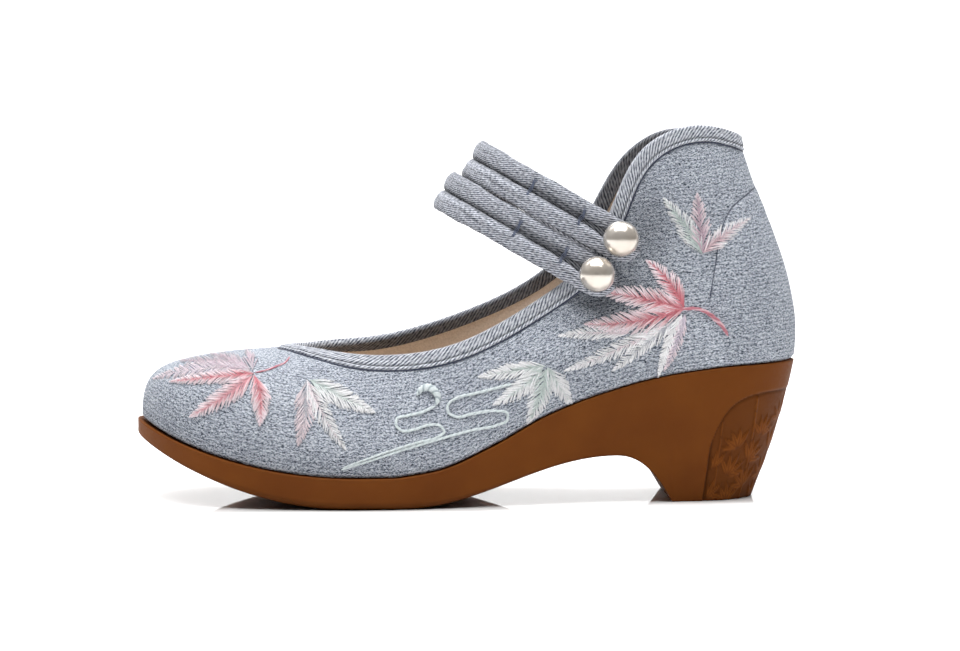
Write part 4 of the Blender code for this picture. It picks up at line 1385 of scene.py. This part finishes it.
def add_stage(look):
    """A white sweep: a floor that curves up behind the shoe."""
    half_width, front, back, bend, height = 3.0, -3.0, 1.6, 0.8, 3.0
    turn = np.linspace(0, math.pi / 2, 25)
    profile = [(front, 0.0)]
    profile += [(back + bend * math.sin(a), bend * (1 - math.cos(a))) for a in turn]
    profile.append((back + bend, height))
    points = [(x, y, z) for y, z in profile for x in (-half_width, half_width)]
    mesh = bpy.data.meshes.new("studio_sweep")
    mesh.from_pydata(points, [], grid_faces(len(profile), 2)[:, ::-1].tolist())
    mesh.materials.append(look)
    mesh.shade_smooth()
    sweep_piece = bpy.data.objects.new("studio_sweep", mesh)
    bpy.context.scene.collection.objects.link(sweep_piece)


def add_softbox(name, location, aim, size, energy):
    data = bpy.data.lights.new(name, "AREA")
    data.shape = "RECTANGLE"
    data.size, data.size_y = size
    data.energy = energy
    lamp = bpy.data.objects.new(name, data)
    lamp.location = location
    lamp.rotation_euler = (Vector(aim) - Vector(location)).to_track_quat("-Z", "Y").to_euler()
    bpy.context.scene.collection.objects.link(lamp)


def add_light():
    """Soft studio light: a broad box above, a weak one at the toe, a lit sweep, a darker room in front."""
    aim, light_way, strength = (0.0, 0.0, 0.06), (0.0, 0.6, 1.0), 0.22
    room = ((0.0, (0.14, 0.13, 0.115, 1.0)), (0.7, (1.0, 1.0, 1.0, 1.0)))
    add_softbox("key_softbox", (-0.05, -0.22, 1.25), aim, (1.3, 0.8), 30.5)
    add_softbox("toe_softbox", (-1.1, -0.2, 0.9), aim, (0.7, 0.8), 0.4)
    add_softbox("sweep_softbox", (0.0, 0.9, 1.9), (0.0, 2.4, 0.6), (4.0, 1.0), 90.0)
    world = bpy.data.worlds.new("studio_room")
    bpy.context.scene.world = world
    world.use_nodes = True
    nodes, links = world.node_tree.nodes, world.node_tree.links
    spot = nodes.new("ShaderNodeTexCoord")
    lean = nodes.new("ShaderNodeVectorMath")
    lean.operation = "DOT_PRODUCT"
    lean.inputs[1].default_value = light_way
    ramp = nodes.new("ShaderNodeValToRGB")
    for element, (position, colour) in zip(ramp.color_ramp.elements, room):
        element.position = position
        element.color = colour
    links.new(spot.outputs["Generated"], lean.inputs[0])
    links.new(lean.outputs["Value"], ramp.inputs["Fac"])
    background = nodes["Background"]
    links.new(ramp.outputs["Color"], background.inputs["Color"])
    background.inputs["Strength"].default_value = strength


# Embroidery, drawn in the photograph's frame and cast through the camera onto the cloth

RED = linear(206, 114, 125)
ROSE = linear(216, 148, 157)
CORAL = linear(230, 184, 190)
PINK = linear(228, 196, 203)
STEM = linear(184, 118, 130)
STEM_PALE = linear(212, 172, 180)
MAUVE = linear(208, 182, 195)
VEIL = linear(196, 188, 196)
PALE_PINK = linear(244, 228, 234)
WHITE = linear(248, 248, 250)
LAVENDER = linear(222, 210, 224)
MINT = linear(204, 217, 214)
GREY = linear(190, 193, 202)
CLOUD = linear(208, 216, 217)
CLOUD_SHADE = linear(188, 198, 200)
CURL_SHADE = linear(160, 172, 176)

# A lobe of a leaf: its ends, its width and the bow of its vein; the colours of its vein, middle and edge;
# and the spacing of its stitches; a leaf's tone scales its colours
Lobe = namedtuple("Lobe", "base tip width bow vein middle edge spacing")
Leaf = namedtuple("Leaf", "name both_sides tone lobes")
CLOSE, OPEN = 1.25, 1.5
LEAVES = (
    Leaf("toe", False, 0.78, (
        Lobe((250, 371), (153, 379), 15, 6, PALE_PINK, LAVENDER, PALE_PINK, OPEN),
        Lobe((250, 370), (180, 361), 13, 3, VEIL, MAUVE, VEIL, OPEN),
        Lobe((251, 370), (210, 354), 12, 2, VEIL, MAUVE, VEIL, OPEN),
        Lobe((253, 371), (247, 349), 13, 0, VEIL, MAUVE, VEIL, OPEN),
        Lobe((254, 374), (170, 382), 12, 0, RED, CORAL, PALE_PINK, CLOSE),
        Lobe((253, 376), (190, 417), 18, -2, ROSE, CORAL, PALE_PINK, CLOSE),
        Lobe((254, 375), (260, 426), 17, -4, RED, CORAL, PALE_PINK, CLOSE),
    )),
    Leaf("vamp", False, 0.7, (
        Lobe((306, 380), (298, 446), 19, -3, GREY, PALE_PINK, PALE_PINK, OPEN),
        Lobe((307, 380), (346, 450), 16, 3, PALE_PINK, WHITE, WHITE, OPEN),
        Lobe((309, 380), (375, 413), 19, 1, MINT, WHITE, WHITE, CLOSE),
    )),
    Leaf("waist", True, 0.76, (
        Lobe((545, 366), (478, 377), 15, 0, MINT, WHITE, WHITE, CLOSE),
        Lobe((543, 368), (493, 405), 16, -3, MINT, WHITE, WHITE, CLOSE),
        Lobe((546, 368), (527, 424), 19, -3, MINT, MINT, WHITE, CLOSE),
        Lobe((547, 367), (572, 406), 17, 0, MINT, WHITE, WHITE, CLOSE),
    )),
    Leaf("quarter", True, 0.88, (
        Lobe((630, 333), (558, 336), 13, 2, PALE_PINK, WHITE, WHITE, OPEN),
        Lobe((664, 327), (564, 371), 14, -2, PALE_PINK, WHITE, WHITE, OPEN),
        Lobe((674, 321), (612, 371), 14, 0, GREY, WHITE, WHITE, OPEN),
        Lobe((682, 314), (658, 377), 10, 2, WHITE, WHITE, WHITE, CLOSE),
        Lobe((685, 314), (664, 371), 10, -2, LAVENDER, LAVENDER, PALE_PINK, OPEN),
        Lobe((684, 309), (584, 324), 22, -5, RED, CORAL, PALE_PINK, CLOSE),
        Lobe((684, 309), (598, 291), 21, 2, RED, CORAL, PALE_PINK, CLOSE),
        Lobe((684, 309), (646, 260), 18, 5, RED, ROSE, PALE_PINK, CLOSE),
    )),
    Leaf("heel", True, 0.76, (
        Lobe((702, 254), (663, 198), 17, 2, MINT, MINT, WHITE, OPEN),
        Lobe((703, 254), (697, 193), 18, 0, MAUVE, MAUVE, PALE_PINK, OPEN),
        Lobe((703, 253), (750, 218), 16, -2, PINK, PALE_PINK, WHITE, OPEN),
    )),
)

# A couched cord: its thickness along it and the length of its twist in millimetres, the colours of its
# plies and its points
Cord = namedtuple("Cord", "name both_sides thickness twist plies points")
CLOUD_PLIES = (CLOUD, CLOUD, CLOUD_SHADE)
CURL_PLIES = (CLOUD, CLOUD, CURL_SHADE)
CORDS = (
    Cord("toe_stem", False, (0.7, 0.9, 0.6), 6.0, (STEM, STEM_PALE, STEM), (
        (255, 373), (265, 371), (276, 367), (285, 363), (290, 357),
    )),
    Cord("quarter_stem", True, (1.2, 1.2, 1.8, 1.0), 8.0, (STEM, STEM_PALE, STEM), (
        (681, 309), (698, 309), (706, 312), (715, 319), (722, 326), (728, 336),
    )),
    Cord("cloud_curl", True, (1.3, 2.9, 2.7, 1.0), 2.4, CURL_PLIES, (
        (417, 396), (421, 390), (428, 388), (435, 392), (438, 399), (435, 406),
    )),
    Cord("cloud_one", True, (1.05, 1.05, 0.95, 0.7), 2.6, CLOUD_PLIES, (
        (435, 406), (423, 412), (407, 416), (397, 419), (396, 425), (402, 431), (413, 430), (430, 425),
        (440, 426), (444, 432), (438, 437), (420, 442), (397, 449), (370, 458), (343, 468),
    )),
    Cord("cloud_two", True, (1.05, 1.05, 0.95, 0.7), 2.6, CLOUD_PLIES, (
        (512, 384), (497, 388), (473, 394), (457, 398), (448, 405), (448, 412), (457, 417), (472, 414),
        (497, 411), (507, 413), (507, 420), (497, 425), (473, 430), (447, 437), (420, 445), (397, 452),
        (370, 461), (341, 470),
    )),
)


class Caster:
    """Casts points of the photograph's frame onto the cloth, from the camera or from its mirror image."""

    def __init__(self, tree):
        self.tree = tree
        self.right, self.up, self.back = camera_axes()
        self.eye = np.array(CAMERA_AIM) + self.back * CAMERA_DISTANCE

    def cast(self, pixels, mirrored):
        """Points in shoe millimetres and outward normals; rows that miss are not a number."""
        pixels = np.asarray(pixels, float)
        x = (pixels[..., 0] - FRAME_WIDTH / 2) / FOCAL_PIXELS
        y = (FRAME_HEIGHT / 2 - pixels[..., 1]) / FOCAL_PIXELS
        rays = self.right * x[..., None] + self.up * y[..., None] - self.back
        eye = self.eye.copy()
        if mirrored:
            rays = rays * [1, -1, 1]
            eye[1] = 2 * SIDE_SHIFT - eye[1]
        points = np.full(rays.shape, np.nan)
        normals = np.full(rays.shape, np.nan)
        start = Vector(eye * MM)
        for spot in np.ndindex(rays.shape[:-1]):
            ray = Vector(rays[spot])
            hit, normal, _, _ = self.tree.ray_cast(start, ray.normalized())
            if hit is not None:
                points[spot] = unplace(hit)
                normals[spot] = np.array(normal if normal.dot(ray) < 0 else -normal)
        return points, normals


def lobe_stitches(lobe, random):
    """Satin stitches of a lobe, from its vein slanting out to its edge, in the photograph's frame."""
    slants, steps, ragged, jitter, overlap, least = (0.65, 1.35), 6, 0.24, 0.4, 0.3, 0.4
    towards_edge, towards_tip, mix_base, mix_spread = 1.1, 0.5, -0.08, 0.3
    base, tip = np.array(lobe.base, float), np.array(lobe.tip, float)
    length = np.linalg.norm(tip - base)
    way = (tip - base) / length
    aside = np.array([-way[1], way[0]])

    def axis(share):
        return base + (tip - base) * share[:, None] + aside * (lobe.bow * 4 * share * (1 - share))[:, None]

    count = int(length / lobe.spacing)
    f = np.linspace(0, 1, steps)
    paths, mixes = [], []
    for side in (-1, 1):
        share = (np.arange(count) + 0.5 + jitter * random.uniform(-1, 1, count)) / count
        reach = random.uniform(*slants, count) * lobe.width / length
        outer = np.minimum(share + reach * (1 - share) ** 0.7, 1.0)
        half = lobe.width / 2 * np.sin(math.pi * outer**0.75) ** 0.75
        half = half * (1 + ragged * random.uniform(-1, 1, count)) + least
        start = axis(share) - aside * (side * overlap)
        end = axis(outer) + aside * (side * half)[:, None]
        paths.append(start[:, None] * (1 - f)[:, None] + end[:, None] * f[:, None])
        mix = towards_edge * f + towards_tip * share[:, None] + mix_base
        mixes.append(np.clip(mix + mix_spread * random.uniform(-1, 1, (count, 1)), 0, 1))
    return np.concatenate(paths), np.concatenate(mixes)


def embroidery_name(drawn, mirrored):
    return "embroidery_" + drawn.name + ("_medial" if mirrored else "_lateral")


def build_leaf(leaf, caster, look, mirrored, random):
    """One embroidered leaf: every lobe's stitches as threads that dive into the cloth at their ends."""
    thickness, lift, layer, sunk, loose, thin_end = 0.19, 0.26, 0.05, 0.05, 0.12, 0.6
    dive, widths, tints = (0.06, 0.96), (0.8, 1.15), (0.84, 1.1)
    tubes, colours = [], []
    for order, lobe in enumerate(leaf.lobes):
        paths, mixes = lobe_stitches(lobe, random)
        points, normals = caster.cast(paths, mirrored)
        found = ~np.isnan(points).any((1, 2))
        points, normals, mixes = points[found], normals[found], mixes[found]
        one_each = (len(points), 1)
        arch = np.sin(math.pi * np.linspace(*dive, paths.shape[1])) ** 0.6
        height = lift * arch + layer * order - sunk + loose * random.uniform(0, 1, one_each)
        radii = thickness * OPEN / lobe.spacing * (thin_end + (1 - thin_end) * arch)
        radii = radii * random.uniform(*widths, one_each)
        tube = sweep(points + normals * height[..., None], normals, radii, 5, 0.8)
        shades = np.array([lobe.vein, lobe.middle, lobe.edge])
        tint = np.stack([np.interp(mixes, (0.1, 0.5, 0.9), shades[:, k]) for k in range(3)], -1)
        tint = tint * leaf.tone * random.uniform(*tints, one_each)[..., None]
        tubes.append(tube)
        colours.append(np.broadcast_to(tint[:, :, None], tube.shape))
    name = embroidery_name(leaf, mirrored)
    return add_threads(name, np.concatenate(tubes), look, np.concatenate(colours))


def smooth_path(points, step):
    """Even points along a smooth curve through the given ones."""
    points = np.array(points, float)
    run = distances_along(points)
    slope = np.gradient(points, run, axis=0)
    place = np.linspace(0, run[-1], int(run[-1] / step))
    left = np.clip(np.searchsorted(run, place, side="right") - 1, 0, len(run) - 2)
    width = (run[left + 1] - run[left])[:, None]
    share = (place - run[left])[:, None] / width
    return hermite(points[left], points[left + 1], slope[left] * width, slope[left + 1] * width, share)


def build_cord(cord, caster, look, mirrored):
    """A couched cord: plies twisted round a line laid on the cloth."""
    taper_length, step, spread, flat, lift, ply_size = 1.0, 0.7, 1.15, 0.6, 1.1, 0.95
    count = len(cord.plies)
    points, normals = caster.cast(smooth_path(cord.points, step), mirrored)
    found = ~np.isnan(points).any(1)
    points, normals = points[found], normals[found]
    run = distances_along(points)
    aside = unit(np.cross(unit(np.gradient(points, axis=0)), normals))
    stops = np.linspace(0, run[-1], len(cord.thickness))
    radius = np.interp(run, stops, cord.thickness)[:, None] / 4
    taper = (smooth(0, taper_length, run) * smooth(0, taper_length, run[-1] - run))[:, None]
    paths = []
    for ply in range(count):
        angle = 2 * math.pi * (run / cord.twist + ply / count)[:, None]
        offset = aside * np.cos(angle) * radius * spread + normals * np.sin(angle) * radius * flat
        paths.append(points + normals * radius * lift + offset * taper)
    radii = np.broadcast_to((radius * (0.5 + 0.5 * taper))[:, 0] * ply_size, (count, len(run)))
    tube = sweep(np.array(paths), np.broadcast_to(normals, (count,) + normals.shape), radii, 6)
    colours = np.array(cord.plies)[:, None, None]
    return add_threads(embroidery_name(cord, mirrored), tube, look, colours)


def main():
    crepe = crepe_look()
    outer_tape = twill_look("twill_tape_look", linear(58, 64, 78), linear(200, 203, 210))
    strap_tape = twill_look("strap_twill_look", linear(40, 46, 59), linear(186, 189, 197))
    thread = thread_look()
    upper = build_upper(crepe)
    build_lining(lining_look("lining_cloth_look", (244, 230, 216)))
    build_insole(lining_look("insole_cloth_look", (196, 176, 156)))
    build_counter(crepe)
    build_counter_seam(thread)
    build_binding(outer_tape)
    build_tape_shadow_line(thread)
    build_sole(rubber_look())
    tree = surface_tree(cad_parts["upper"])
    pearl = pearl_look()
    for strap in STRAPS:
        spot = lateral_spot(tree, strap.along, strap.up)
        build_strap(strap, spot, strap_tape)
        build_strap_fold(strap, spot, strap_tape)
        build_tacks(strap, spot, thread)
        build_pearl(strap, spot, pearl)
    caster = Caster(surface_tree(upper))
    random = np.random.default_rng(11)
    for mirrored in (False, True):
        for leaf in LEAVES:
            if leaf.both_sides or not mirrored:
                build_leaf(leaf, caster, thread, mirrored, random)
        for cord in CORDS:
            if cord.both_sides or not mirrored:
                build_cord(cord, caster, thread, mirrored)
    add_stage(floor_look())
    add_light()
    add_camera()
    bpy.context.scene.view_settings.view_transform = "Standard"


main()
